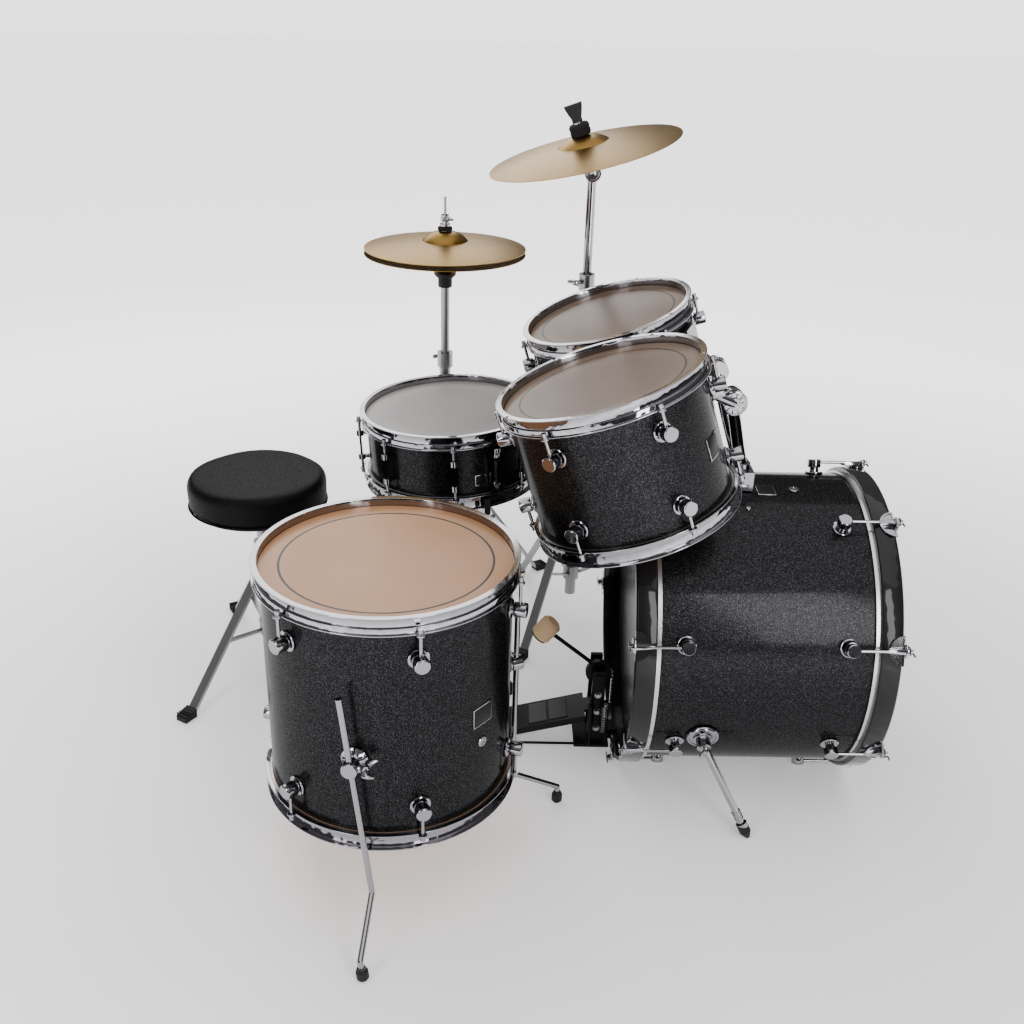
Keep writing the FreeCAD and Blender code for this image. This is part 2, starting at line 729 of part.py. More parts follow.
def floor_leg(label, frame, lean):
    """A bent steel rod with a rubber foot, outside the shell; the foot's lowest edge is on the floor."""
    base, out = "(floor_radius + leg_offset)", "(floor_radius + leg_offset + leg_kick)"
    turn = math.radians(lean)
    height, edge = number("leg_clamp_height"), number("foot_radius - 3")
    low = repr(round(height - (height - edge * math.sin(turn)) / math.cos(turn), 4))
    rod = new_body(label + "_rod", frame)
    inside = low + " + foot_height/2"
    pipe(rod, [(out, inside), (out, "leg_ankle"), (base, "leg_knee"), (base, "leg_top")], "leg_radius")
    foot = new_body(label + "_foot", frame)
    bore = inside + " - seat_gap"
    corners = [("0", low), ("foot_radius - 3", low), ("foot_radius", low + " + 4"),
               ("foot_radius", low + " + foot_height - 8"), ("leg_radius + 1.5", low + " + foot_height"),
               ("leg_radius + seat_gap", low + " + foot_height"), ("leg_radius + seat_gap", bore), ("0", bore)]
    revolve(foot, corners, right=out)
    return group(label, [rod, foot])


def leg_clamp(frame):
    """A block on the shell that a leg slides in, with a wing bolt."""
    body = new_body("leg_clamp", frame)
    inner, rod = "floor_radius + seat_gap", "floor_radius + leg_offset"
    low, high = "leg_clamp_height - leg_clamp_tall/2", "leg_clamp_height + leg_clamp_tall/2"
    outer = rod + " + leg_radius + 5"
    pad(body, box_outline(inner, outer, low, high), "leg_clamp_wide")
    bolt_hole(body, "leg_radius + seat_gap", low + " - 1", high + " + 1", right=rod)
    revolve(body, box_outline(outer + " - 1", outer + " + 12", "0", "5"), about="H_Axis", up="leg_clamp_height")
    wing = box_outline(outer + " + 6", outer + " + 11", "leg_clamp_height - 4", "leg_clamp_height + 4")
    pad(body, wing, "34")
    return body


# ---------------------------------------------------------------- tom holder
def post_place(side):
    azimuth = number("post_turn") if side > 0 else 180 - number("post_turn")
    return place(side * number("post_spread"), number("post_y"), number(BASS_TOP), spin=azimuth)


def post_head(side):
    """The middle of the ratchet at the top of a post."""
    return post_place(side).multVec(V(number("post_head_out"), 0, number("post_head")))


def tom_post(label, side):
    """A bent tube from the mount up to the fixed half of the ratchet."""
    tube = new_body(label + "_tube", post_place(side))
    points = [("0", "-post_foot"), ("0", "post_straight"), ("post_knee_out", "post_knee"),
              ("post_head_out", "post_head")]
    pipe(tube, points, "post_radius")
    head = post_head(side)
    disc_body = new_body(label + "_disc", aimed(head, head + X_AXIS * side))
    disc(disc_body, "ratchet_radius", "-ratchet_half", "ratchet_half")
    whole = doc.addObject("Part::Fuse", label)
    whole.Base, whole.Tool = tube, disc_body
    return keep(label, whole)


def tom_bracket(label, name, side):
    """The moving ratchet half, its arm, and the plate on the tom's shell."""
    head = post_head(side) + X_AXIS * side * number("ratchet_half + seat_gap")
    cap = new_body(label + "_cap", aimed(head, head + X_AXIS * side))
    disc(cap, "ratchet_radius", "0", "ratchet_half")
    disc(cap, "ratchet_radius/2", "ratchet_half - 1", "ratchet_half + 5")
    on_tom = turned(drum_place(name, BASS_TOP), number(name + "_mount_turn"))
    plate = new_body(label + "_plate", on_tom)
    inner, rise, tall = name + "_radius + seat_gap", "tom_plate_rise", "tom_plate_tall/2"
    pad(plate, box_outline(inner, inner + " + tom_plate_thick", rise + " - " + tall, rise + " + " + tall),
        "tom_plate_wide")
    seat = on_tom.multVec(V(number(inner + " + tom_plate_thick"), 0, number(rise)))
    tip = head + X_AXIS * side * number("ratchet_half")
    arm = new_body(label + "_arm", aimed(seat, tip))
    disc(arm, "tom_arm_radius", "-2", repr(round((tip - seat).Length, 3)))
    whole = doc.addObject("Part::MultiFuse", label)
    whole.Shapes = [cap, plate, arm]
    return keep(label, whole)


# ---------------------------------------------------------------- cymbals
def cymbal(label, name, where):
    """A thin lathed plate with a domed bell; its own origin is the top of the bell."""
    body = new_body(label, where)
    rim, bell, thick = name + "_radius", name + "_bell_radius", name + "_thick"
    drop = name + "_bell_height"
    fall = drop + " + " + name + "_bow"
    hole = "post_bolt + 2"
    corners = [(hole, "0"), (bell, "-" + drop), (rim, "-(" + fall + ")"),
               (rim, "-(" + fall + ") - " + thick), (bell, "-" + drop + " - " + thick), (hole, "-" + thick)]
    dome = ("0.62*" + bell, "-0.26*" + drop)
    bow = ("0.55*(" + rim + " + " + bell + ")", "-(" + drop + " + 0.42*" + name + "_bow)")
    bows = {0: dome, 1: bow, 3: (bow[0], bow[1] + " - " + thick), 4: (dome[0], dome[1] + " - " + thick)}
    revolve(body, corners, bows=bows)
    return keep(label, body)


# ---------------------------------------------------------------- stands
def tripod_legs(body, hub, brace, reach, tube):
    """Three sloping bars from the upper collar, and three braces from the lower one."""
    start, end = "collar_radius + seat_gap", reach + " - 24"
    deep = "leg_bar_thick*1.5"
    top = hub + " - 4"
    leg = [(start, top + " - " + deep), (start, top), (end, "5 + " + deep), (end, "5")]
    middle = "(0.52*(" + end + "))"
    slope = "((" + top + " - " + deep + " - 5)/(" + end + " - (" + start + ")))"
    under = top + " - " + deep + " - " + slope + "*(" + middle + " - (" + start + ")) - seat_gap"
    stay = [(start, brace), (start, brace + " - brace_thick"), (middle, under + " - brace_thick - 1"),
            (middle, under)]
    legs = pad(body, leg, "leg_bar_width")
    stays = pad(body, stay, "brace_width")
    around(body, [legs, stays], "3")
    for middle_height in (hub, brace):
        low = middle_height + " - collar_height/2"
        disc(body, "collar_radius", low, low + " + collar_height", inner=tube + " + seat_gap")
    doc.recompute()
    body.Tip = body.Group[-1]


def stand_foot(where, reach):
    """Three ribbed rubber feet at the ends of a stand's legs."""
    body = new_body("stand_foot", where)
    start = reach + " - 24 + seat_gap"
    corners = [(start, "0"), (reach + " + 8", "0"), (reach + " + 8", "11"), (start, "9 + leg_bar_thick*1.5")]
    around(body, [pad(body, corners, "leg_bar_width + 7")], "3")
    return body


def stand_tube(where, radius, low, high, inner):
    """A straight tube with a clamp collar and its wing bolt at the top."""
    body = new_body("stand_tube", where)
    disc(body, radius, low, high, inner=inner)
    collar = radius + " + 4.5"
    disc(body, collar, high + " - 34", high, inner=inner)
    disc_on_side = high + " - 17"
    revolve(body, box_outline(collar + " - 1", collar + " + 14", "0", "4.5"), about="H_Axis", up=disc_on_side)
    pad(body, box_outline(collar + " + 9", collar + " + 13", disc_on_side + " - 4", disc_on_side + " + 4"), "30")
    return body


def tripod(label, name, x, y, held):
    """Legs, braces and collars of one stand, with the pieces that they hold."""
    where = place(number(x), number(y), spin=number(name + "_turn"))
    frame = new_body(label + "_frame", where)
    tripod_legs(frame, name + "_hub", name + "_brace", name + "_reach", "base_tube")
    group(label, [frame] + held)
    return stand_foot(where, name + "_reach")


def hat_stand_tube(where):
    """The hi-hat's tubes, with the cup under its lower cymbal and the height clamp."""
    body = new_body("hat_tube", where)
    bore = "pull_rod + run_gap"
    cup = "hat_edge - hat_open - hat_bell_height - hat_bow - hat_thick - seat_gap"
    foot, top = "hat_tube_foot", "hat_tube_top"
    corners = [(bore, foot), ("base_tube", foot), ("base_tube", top + " - 34"), ("base_tube + 5", top + " - 34"),
               ("base_tube + 5", top), ("mid_tube", top), ("mid_tube", cup + " - 24"), ("12", cup + " - 24"),
               ("12", cup + " - 12"), ("24", cup + " - 9"), ("24", cup + " - 5"), ("11", cup), (bore, cup)]
    revolve(body, corners)
    revolve(body, box_outline("base_tube + 4", "base_tube + 18", "0", "4.5"), about="H_Axis", up=top + " - 17")
    pad(body, box_outline("base_tube + 13", "base_tube + 17", top + " - 21", top + " - 13"), "30")
    return body


def hat_pedal_frame(where):
    """Under the tube: a crosspiece, two uprights, two rails along the floor and the heel's base."""
    pieces = []

    def piece():
        pieces.append(new_body("hat_pedal_piece", where))
        return pieces[-1]

    under = "hat_tube_foot - seat_gap"
    cross = piece()
    pad(cross, box_outline("-34", "34", under + " - 6", under), "44")
    bolt_hole(cross, "pull_rod + run_gap", under + " - 7", under + " + 1")
    rail_end = "(hat_heel - 12 - seat_gap)"
    for side in ("", "-"):
        disc(piece(), "3.5", "8 + seat_gap", under + " - 6 - seat_gap", right=side + "28", out="-14")
        rail = piece()
        pad(rail, box_outline("-3", "3", "2", "8"), rail_end, right=side + "28", out="-" + rail_end + "/2")
    heel = piece()
    width = "hat_board_width/2 + 8"
    pad(heel, box_outline("-" + "(" + width + ")", width, "0", "6"), "48", out="-hat_heel - 12")
    heel_ears(heel, "hat_board_width", "hat_heel")
    return pieces


def heel_ears(body, width, heel):
    """Two ears and a pin that carry a footboard's heel."""
    ear = width + "/2 + 1"
    for side in ("", "-"):
        near, far = side + "(" + ear + ")", side + "(" + ear + " + 6)"
        pad(body, box_outline(near, far, "5", "heel_height + 6"), "16", out="-(" + heel + ")")
    pin = box_outline("-(" + ear + " + 3)", ear + " + 3", "0", "3")
    revolve(body, pin, about="H_Axis", up="heel_height", out="-(" + heel + ")")


def footboard(label, where, width, heel, reach, neck, slope):
    """A sloping plate with turned-down lips, a narrow toe past the neck and a hinge barrel at the heel."""
    body = new_body(label, where)
    toe, thick, lift = heel + " - " + reach, "board_thick", " - 9"

    def under(along):
        return "(heel_height + (" + heel + " - (" + along + "))*tan(" + slope + "))"

    def plate(start, end, across):
        corners = [(start, under(start)), (start, under(start) + " + " + thick),
                   (end, under(end) + " + " + thick), (end, under(end))]
        pad(body, corners, across, on="YZ_Plane")

    start = heel + " - 9"
    plate(start, neck, width)
    plate(neck + " + 2", toe, "toe_width")
    lip = [(start, "heel_height - 6"), (start, under(start)), (neck, under(neck)), (neck, under(neck) + lift)]
    for side in ("", "-"):
        pad(body, lip, "3", on="YZ_Plane", out=side + "(" + width + "/2 - 1.5)")
    barrel = box_outline("-(" + width + "/2)", width + "/2", "0", "6.5")
    revolve(body, barrel, about="H_Axis", up="heel_height", out="-(" + heel + ")")
    pad(body, box_outline(heel + " - 14", heel, "heel_height - 4", "heel_height + 4"), width, on="YZ_Plane")
    bore = box_outline("-(" + width + "/2 + 1)", width + "/2 + 1", "0", "3 + shaft_gap")
    revolve(body, bore, about="H_Axis", cut=True, up="heel_height", out="-(" + heel + ")")
    return keep(label, body)


def hat_pieces():
    where = place(number("hat_x"), number("hat_y"))
    bell = number("hat_edge + hat_bell_height + hat_bow")
    cymbal("hihat_top_cymbal", "hat", place(number("hat_x"), number("hat_y"), bell))
    low = number("hat_edge - hat_open - hat_bell_height - hat_bow - hat_thick")
    cymbal("hihat_bottom_cymbal", "hat", place(number("hat_x"), number("hat_y"), low, lean=180))
    rod = new_body("hihat_pull_rod", where)
    toe = "heel_height + (hat_heel + pull_rod + 4)*tan(hat_board_slope) + board_thick + seat_gap"
    seat = "hat_edge + hat_bell_height + hat_bow + seat_gap"
    under = "hat_edge + hat_bell_height + hat_bow - hat_thick - seat_gap"
    corners = [("0", toe), ("pull_rod + 4", toe), ("pull_rod + 4", toe + " + 14"), ("pull_rod", toe + " + 14"),
               ("pull_rod", under + " - 12"), ("12", under + " - 12"), ("12", under + " - 3"), ("7", under),
               ("post_bolt + 1.6", under),
               ("post_bolt + 1.6", seat), ("13", seat), ("13", seat + " + 7"), ("clutch_radius", seat + " + 7"),
               ("clutch_radius", seat + " + 34"), ("pull_rod", seat + " + 34"), ("pull_rod", "hat_rod_top"),
               ("0", "hat_rod_top")]
    revolve(rod, corners)
    revolve(rod, box_outline("clutch_radius - 1", "clutch_radius + 9", "0", "3"), about="H_Axis", up=seat + " + 22")
    pad(rod, box_outline("clutch_radius + 5", "clutch_radius + 9", seat + " + 18", seat + " + 26"), "22")
    keep("hihat_pull_rod", rod)
    pedal = place(number("hat_x"), number("hat_y"), spin=number("hat_pedal_turn"))
    footboard("hihat_footboard", pedal, "hat_board_width", "hat_heel", "hat_board_reach", "hat_board_neck", "hat_board_slope")


def crash_pieces():
    x, y, pivot = number("crash_x"), number("crash_y"), number("crash_pivot")
    tube = new_body("crash_upper_tube", place(x, y))
    disc(tube, "mid_tube", "crash_tube_end", "crash_pivot - tilter_radius + 4")
    wheel = new_body("crash_wheel", aimed(V(x, y, pivot), V(x + 1, y, pivot)))
    disc(wheel, "tilter_radius", "-tilter_half", "tilter_half")
    upper = doc.addObject("Part::Fuse", "cymbal_upper_tube")
    upper.Base, upper.Tool = tube, wheel
    keep("cymbal_upper_tube", upper)
    tilted = place(x, y, pivot, number("crash_post_lean"), number("crash_roll"))
    tilter = new_body("cymbal_tilter_post", tilted)
    seat = "crash_post - crash_thick - wobble_gap"
    nut = "crash_post + wobble_gap"
    corners = [("0", "tilter_radius + saddle_gap"), ("9", "tilter_radius + saddle_gap"), ("9", "tilter_radius + 9"),
               ("post_bolt", "tilter_radius + 12"), ("post_bolt", seat + " - 14"), ("15", seat + " - 14"),
               ("15", seat + " - 8"), ("post_bolt + 2.5", seat), ("post_bolt", seat), ("post_bolt", nut),
               ("post_bolt + 2.5", nut), ("15", nut + " + 7"), ("15", nut + " + 10"), ("8", nut + " + 10"),
               ("8", nut + " + 28"), ("post_bolt", nut + " + 28"), ("post_bolt", nut + " + 40"), ("0", nut + " + 40")]
    revolve(tilter, corners)
    pad(tilter, box_outline("-16", "16", nut + " + 12", nut + " + 24"), "6")
    cheek = new_body("cymbal_tilter_cheek", tilted)
    for side in ("", "-"):
        near, far = side + "(mid_tube + cheek_gap)", side + "(mid_tube + cheek_gap + 6)"
        revolve(cheek, box_outline(near, far, "0", "tilter_radius"), about="H_Axis")
        pad(cheek, box_outline(near, far, "0", "tilter_radius + 8"), "16")
    across = "(mid_tube + cheek_gap + 6)"
    pad(cheek, box_outline("-" + across, across, "tilter_radius + 1.4", "tilter_radius + 8"), "16")
    whole = doc.addObject("Part::Fuse", "cymbal_tilter")
    whole.Base, whole.Tool = tilter, cheek
    keep("cymbal_tilter", whole)
    bell = tilted.multVec(V(0, 0, number("crash_post")))
    cymbal("crash_cymbal", "crash", place(bell.x, bell.y, bell.z, number("crash_lean"), number("crash_roll")))
    return stand_tube(place(x, y, spin=number("crash_wing_turn")), "base_tube", "60", "crash_tube_top + 34", "mid_tube + run_gap")


# ---------------------------------------------------------------- snare drum
def snare_pieces(size, where):
    for make in (heads, hoops, rods):
        keep("snare_" + make.__name__, make(size, where))
    keep("snare_shell", shell(size, "snare_wall", where))
    keep("snare_lugs", tube_lugs(size, where))
    low = "-(snare_depth/2 + film + seat_gap + wire_radius)"
    wires = new_body("snare_wires", turned(where, number("strainer_turn")))
    strand = revolve(wires, box_outline("-(snare_radius - wires_short - 14)", "snare_radius - wires_short - 14", "0", "wire_radius"),
                     about="H_Axis", up=low, out="-wires_half_width + wire_radius")
    doc.recompute()
    row = wires.newObject("PartDesign::LinearPattern", "snare_strands")
    row.Originals = [strand]
    row.Direction = (origin_of(wires, "Y_Axis"), [""])
    row.setExpression("Length", bound("2*(wires_half_width - wire_radius)"))
    row.setExpression("Occurrences", bound("wire_count"))
    wires.Tip = row
    for side in ("", "-"):
        plate = box_outline(side + "(snare_radius - wires_short - 13)", side + "(snare_radius - wires_short)", low + " - 1", low + " + 1")
        pad(wires, plate, "2*wires_half_width + 2")
    keep("snare_wires", wires)
    strainer = new_body("snare_strainer", turned(where, number("strainer_turn")))
    inner = "snare_radius + seat_gap"
    outer = "snare_radius + strainer_reach"
    pad(strainer, box_outline(inner, outer, "strainer_low", "strainer_high"), "strainer_width")
    disc(strainer, "6", "strainer_high - 1", "strainer_high + 9", right=outer + " - 7")
    keep("snare_strainer", strainer)
    lever = new_body("snare_strainer_lever", turned(where, number("strainer_turn")))
    pad(lever, box_outline(outer + " + seat_gap", outer + " + 5", "strainer_low + 4", "strainer_high - 6"), "13")
    revolve(lever, box_outline(outer + " + seat_gap", outer + " + 9", "0", "7"), about="H_Axis", up="strainer_low + 12")
    keep("snare_strainer_lever", lever)


def tube_lugs(size, where):
    """Double-ended lugs: an open oval loop from one row of rods to the other, on two stems."""
    body = new_body("snare_lugs", turned(where, size["turn"]))
    inner = "snare_radius + seat_gap"
    rod = size["rod"]
    half = "tube_lug_half"
    stem_in = rod + " - tube_lug_radius + 3"
    made = []
    for side in ("", "-"):
        low, high = side + "(" + half + " - 12)", side + half
        made.append(disc(body, "tube_lug_radius - 1.5", low, high, right=rod))
        made.append(revolve(body, box_outline(inner, stem_in, "0", "4.5"), about="H_Axis",
                            up=side + "(" + half + " - 6)"))
    rail = box_outline("-2", "2", "-(" + half + " - 11)", half + " - 11")
    made.append(pad(body, rail, "3.5", right=rod, out="tube_lug_radius - 4"))
    made.append(pad(body, rail, "3.5", right=rod, out="-(tube_lug_radius - 4)"))
    for side in ("", "-"):
        low, high = side + "(" + half + " - lug_pit)", side + "(" + half + " + 1)"
        made.append(bolt_hole(body, "rod_radius + seat_gap", low, high, right=rod))
    around(body, made, size["lugs"])
    return body


def snare_basket(where):
    """Three arms under the lower hoop, each with an upright grip, on a hub above the stand's tube."""
    body = new_body("snare_arms", turned(where, number("basket_turn")))
    rim = "-(snare_depth/2 + film + rim_rise + seat_gap)"
    hub = rim + " - basket_drop"
    inner = "snare_radius + 2*seat_gap + flesh_hoop_width + hoop_sheet + skirt_flange + 1"
    arm = [("12", hub), ("12", hub + " - 9"), ("60", hub + " - 9"), (inner + " + 7", rim + " - 12"),
           (inner + " + 7", rim + " + 24"), (inner, rim + " + 24"), (inner, rim), (inner + " - 20", rim),
           (inner + " - 20", rim + " - 8"), ("60", hub)]
    around(body, [pad(body, arm, "basket_width")], "3")
    disc(body, "16", hub + " - 14", hub + " + 6")
    under = where.multVec(V(0, 0, number(hub) - 14))
    stem = new_body("snare_stem", place(under.x, under.y, under.z))
    disc(stem, "mid_tube", "-snare_stem", "8")
    whole = doc.addObject("Part::Fuse", "snare_basket")
    whole.Base, whole.Tool = body, stem
    keep("snare_basket", whole)
    return under


# ---------------------------------------------------------------- throne
def throne_pieces():
    where = place(number("throne_x"), number("throne_y"))
    under = "throne_seat_top - throne_seat_thick - throne_pan - seat_gap"
    post = new_body("throne_post", where)
    disc(post, "mid_tube", "throne_post_foot", under)
    disc(post, "48", under, under + " + throne_pan")
    keep("throne_post", post)
    seat = new_body("throne_seat", where)
    low, high = "throne_seat_top - throne_seat_thick", "throne_seat_top"
    edge, hem = "throne_seat_edge", "throne_seat_hem"
    corners = [("0", low), ("throne_seat_radius - " + hem, low), ("throne_seat_radius", low + " + 2*" + hem),
               ("throne_seat_radius", high + " - " + edge), ("throne_seat_radius - " + edge, high), ("0", high)]
    bend = ("throne_seat_radius - 0.293*" + edge, high + " - 0.293*" + edge)
    revolve(seat, corners, bows={3: bend})
    keep("throne_seat", seat)
    return stand_tube(turned(where, number("throne_wing_turn")), "base_tube", "40", "throne_tube_top", "mid_tube + run_gap")


# ---------------------------------------------------------------- bass pedal
def pedal_frame():
    """Hoop clamp, base, two towers with the axle's bearings, wire rails, heel plate and spring."""
    body = new_body("pedal_frame")
    hoop_face = "bass_hoop_width - bass_back - collar"
    wood_top = "jaw_thick + bass_hoop_out - film - 3*seat_gap"
    jaw = [("-base_front", "0"), ("-base_front", wood_top + " + 7"), (hoop_face + " - jaw_bite + 6", wood_top + " + 7"),
           (hoop_face + " - jaw_bite + 6", wood_top + " + 1.4"), (hoop_face + " + seat_gap", wood_top + " + 1.4"),
           (hoop_face + " + seat_gap", "jaw_thick - seat_gap"), (hoop_face + " - jaw_bite", "jaw_thick - seat_gap"),
           (hoop_face + " - jaw_bite", "0")]
    pad(body, jaw, "36", on="YZ_Plane")
    base = box_outline("-base_front - 1", "base_back", "0", "base_thick")
    pad(body, base, "base_width", on="YZ_Plane")
    for side in ("", "-"):
        tower = [("-tower_depth/2", "base_thick - 1"), ("tower_depth/2", "base_thick - 1"),
                 ("12", "axle_height + 12"), ("-12", "axle_height + 12")]
        pad(body, tower, "tower_thick", on="YZ_Plane", out=side + "(tower_gap + tower_thick)/2")
        wire = box_outline("base_back - 4", "heel_y - 18", "0", "frame_wire")
        revolve(body, wire, about="H_Axis", on="YZ_Plane", up="frame_wire", out=side + "(base_width/2 - 8)")
    bore = box_outline("-base_width", "base_width", "0", "axle_radius + shaft_gap")
    revolve(body, bore, about="H_Axis", cut=True, up="axle_height")
    heel = box_outline("heel_y - 20", "heel_y - 20 + heel_plate", "0", "base_thick")
    pad(body, heel, "board_width + 16", on="YZ_Plane")
    heel_ears(body, "board_width", "heel_y")
    spring_x = "-(tower_gap/2 + tower_thick + 10)"
    disc(body, "2.5", "base_thick - 1", "42", right=spring_x, out="-14")
    disc(body, "6.5", "40", "104", right=spring_x, out="-14")
    disc(body, "2", "103", "128", right=spring_x, out="-14")
    return keep("pedal_frame", body)


def beater_pieces():
    """Axle, cam, hub and shaft turn as one, leaned back at rest, with the beater at the top."""
    where = place(0, 0, number("axle_height"), lean=number("beater_back"))
    shaft = new_body("pedal_beater_shaft", where)
    end = "tower_gap/2 + tower_thick + 3"
    revolve(shaft, box_outline("-(" + end + ")", end, "0", "axle_radius"), about="H_Axis")
    revolve(shaft, box_outline("-hub_radius*0.6", "hub_radius*0.6", "0", "hub_radius"), about="H_Axis")
    revolve(shaft, box_outline("-cam_x - cam_width/2", "-cam_x + cam_width/2", "0", "cam_radius"), about="H_Axis")
    disc(shaft, "shaft_radius", "-shaft_tail", "beater_reach - beater_radius + 12")
    keep("pedal_beater_shaft", shaft)
    beater = new_body("pedal_beater", where)
    half, edge = "beater_length/2", "beater_radius"
    corners = [("-(" + half + ")", "0"), ("-(" + half + ")", edge + " - 6"), ("-(" + half + " - 6)", edge),
               (half + " - 6", edge), (half, edge + " - 6"), (half, "0")]
    revolve(beater, corners, about="H_Axis", on="YZ_Plane", up="beater_reach")
    bolt_hole(beater, "shaft_radius + shaft_gap", "beater_reach - beater_radius - 1",
              "beater_reach - beater_radius + 12 + seat_gap")
    keep("pedal_beater", beater)


def pedal_chain():
    """The chain from the footboard's toe up the front of the cam."""
    body = new_body("pedal_chain")
    front = "-(cam_radius + run_gap)"
    toe = "heel_height + board_reach*tan(board_slope) + board_thick + seat_gap"
    links = box_outline(front + " - chain_thick", front, toe, "axle_height + 4")
    foot = box_outline(front + " - chain_thick", front + " + 12", toe, toe + " + 6")
    pad(body, links, "chain_width", on="YZ_Plane", out="-cam_x")
    pad(body, foot, "chain_width", on="YZ_Plane", out="-cam_x")
    return keep("pedal_chain", body)


# ---------------------------------------------------------------- the whole kit
def bass_drum():
    size = drum("bass", "bass", "bass_lugs", "bass_lug_inset", "bass_lug_start", "bass_lug_reach", "bass_rod_offset")
    bass_pieces(size, place(0, number(BASS_MIDDLE), number(BASS_HIGH), lean=90))
    bass_brackets()
    spur("spur_right", -1)
    spur("spur_left", 1)


def floor_tom():
    size = drum("floor_tom", "floor", "floor_lugs", "floor_lug_inset")
    middle = number("floor_top - floor_depth/2 - film - rim_rise")
    tuned_drum(size, "floor_wall", place(number("floor_x"), number("floor_y"), middle))
    clamps = []
    for step, side in enumerate(("back", "outer", "front")):
        turn = number("floor_leg_turn") + step * 120
        lean = number("leg_lean_" + side)
        frame = leaned_leg(place(number("floor_x"), number("floor_y"), spin=turn), lean)
        clamps.append(leg_clamp(frame))
        floor_leg("floor_tom_leg_" + side, frame, lean)
    group("floor_tom_leg_brackets", clamps)


def rack_toms():
    for name, side in (("tom_near", -1), ("tom_far", 1)):
        size = drum(name, name, "tom_lugs", "tom_lug_inset")
        tuned_drum(size, "tom_wall", drum_place(name, BASS_TOP))
        tom_post(name + "_post", side)
        tom_bracket(name + "_bracket", name, side)


def snare():
    size = drum("snare", "snare", "snare_lugs", "tube_lug_half")
    size["lug_height"] = "tube_lug_half - lug_barrel_radius"
    where = drum_place("snare")
    snare_pieces(size, where)
    return snare_basket(where)


def stands(snare_tube_top):
    """The four tripods with their tubes, and the rubber feet of all of them."""
    snare_x, snare_y = repr(round(snare_tube_top.x, 3)), repr(round(snare_tube_top.y, 3))
    post = new_body("snare_tube", place(snare_tube_top.x, snare_tube_top.y))
    top = repr(round(snare_tube_top.z, 3)) + " - snare_tube_gap"
    disc(post, "base_tube", "snare_tube_foot", top, inner="mid_tube + run_gap")
    pedal = place(number("hat_x"), number("hat_y"), spin=number("hat_pedal_turn"))
    hat_frame = [hat_stand_tube(pedal)] + hat_pedal_frame(pedal)
    feet = [
        tripod("hihat_tripod", "hat", "hat_x", "hat_y", hat_frame),
        tripod("cymbal_tripod", "crash", "crash_x", "crash_y", [crash_pieces()]),
        tripod("snare_tripod", "snare", snare_x, snare_y, [post]),
        tripod("throne_tripod", "throne", "throne_x", "throne_y", [throne_pieces()]),
    ]
    group("stand_feet", feet)


def check():
    """Stop with a plain message if any object failed or any sub-part is empty or invalid."""
    faults = [item.Label for item in doc.Objects if "Invalid" in item.State or "Error" in item.State]
    for label, piece in nodes.items():
        if piece.Shape.isNull() or not piece.Shape.isValid() or not piece.Shape.Solids:
            faults.append(label)
    if faults:
        raise RuntimeError("failed objects: " + ", ".join(faults))


def main():
    bass_drum()
    floor_tom()
    rack_toms()
    stands(snare())
    hat_pieces()
    pedal_frame()
    beater_pieces()
    pedal_chain()
    footboard("pedal_footboard", place(), "board_width", "heel_y", "board_reach", "board_neck", "board_slope")
    doc.recompute()
    check()
    os.makedirs("parts", exist_ok=True)
    for label, piece in nodes.items():
        piece.Shape.exportStep("parts/%s.step" % label)
        print("%-26s %3d solids %12.0f mm3" % (label, len(piece.Shape.Solids), piece.Shape.Volume))
    print(len(nodes), "sub-parts")


main()
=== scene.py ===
# %% [markdown]
# # An acoustic drum kit, finished in Blender
#
# The drums, stands and pedals already exist as an exact model with moving bodies. This lesson
# loads that model as a fixed frame, lights it, gives every part a procedural finish, and then
# models the pieces whose looks need more: cushion, felts, wing bolts, claws, clamps, chain, badges.

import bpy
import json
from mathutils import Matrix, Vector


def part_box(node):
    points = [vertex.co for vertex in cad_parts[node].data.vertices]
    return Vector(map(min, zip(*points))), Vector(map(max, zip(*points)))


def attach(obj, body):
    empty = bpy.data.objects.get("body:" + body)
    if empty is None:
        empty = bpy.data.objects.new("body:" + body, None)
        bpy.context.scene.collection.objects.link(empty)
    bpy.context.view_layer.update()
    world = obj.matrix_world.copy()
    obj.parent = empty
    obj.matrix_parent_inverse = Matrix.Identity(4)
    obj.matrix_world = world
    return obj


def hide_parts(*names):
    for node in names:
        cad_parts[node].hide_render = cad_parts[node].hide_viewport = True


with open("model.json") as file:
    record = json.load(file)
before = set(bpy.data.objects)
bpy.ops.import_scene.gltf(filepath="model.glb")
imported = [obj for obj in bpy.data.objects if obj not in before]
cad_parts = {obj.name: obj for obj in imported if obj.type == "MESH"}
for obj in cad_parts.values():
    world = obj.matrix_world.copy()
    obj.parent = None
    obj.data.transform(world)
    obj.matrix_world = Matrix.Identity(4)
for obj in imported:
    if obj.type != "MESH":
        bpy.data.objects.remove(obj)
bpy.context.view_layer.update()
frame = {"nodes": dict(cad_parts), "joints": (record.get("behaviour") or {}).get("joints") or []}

# %% Modules and short names
import json
import math

import bmesh
import bpy
from mathutils import Matrix, Vector

nodes = frame["nodes"]
joints = {joint["name"]: joint for joint in frame["joints"]}
MM = 0.001

# %% [markdown]
# ## The camera
#
# A camera looks along its own -Z axis with +Y up, so its matrix is built from three directions:
# where it looks, which way is right, and which way is up after a slight roll.

# %% Camera
EYE = Vector((-1.9296, 0.2191, 1.4104))
YAW, PITCH, ROLL = -0.0188, -0.4385, 0.0284


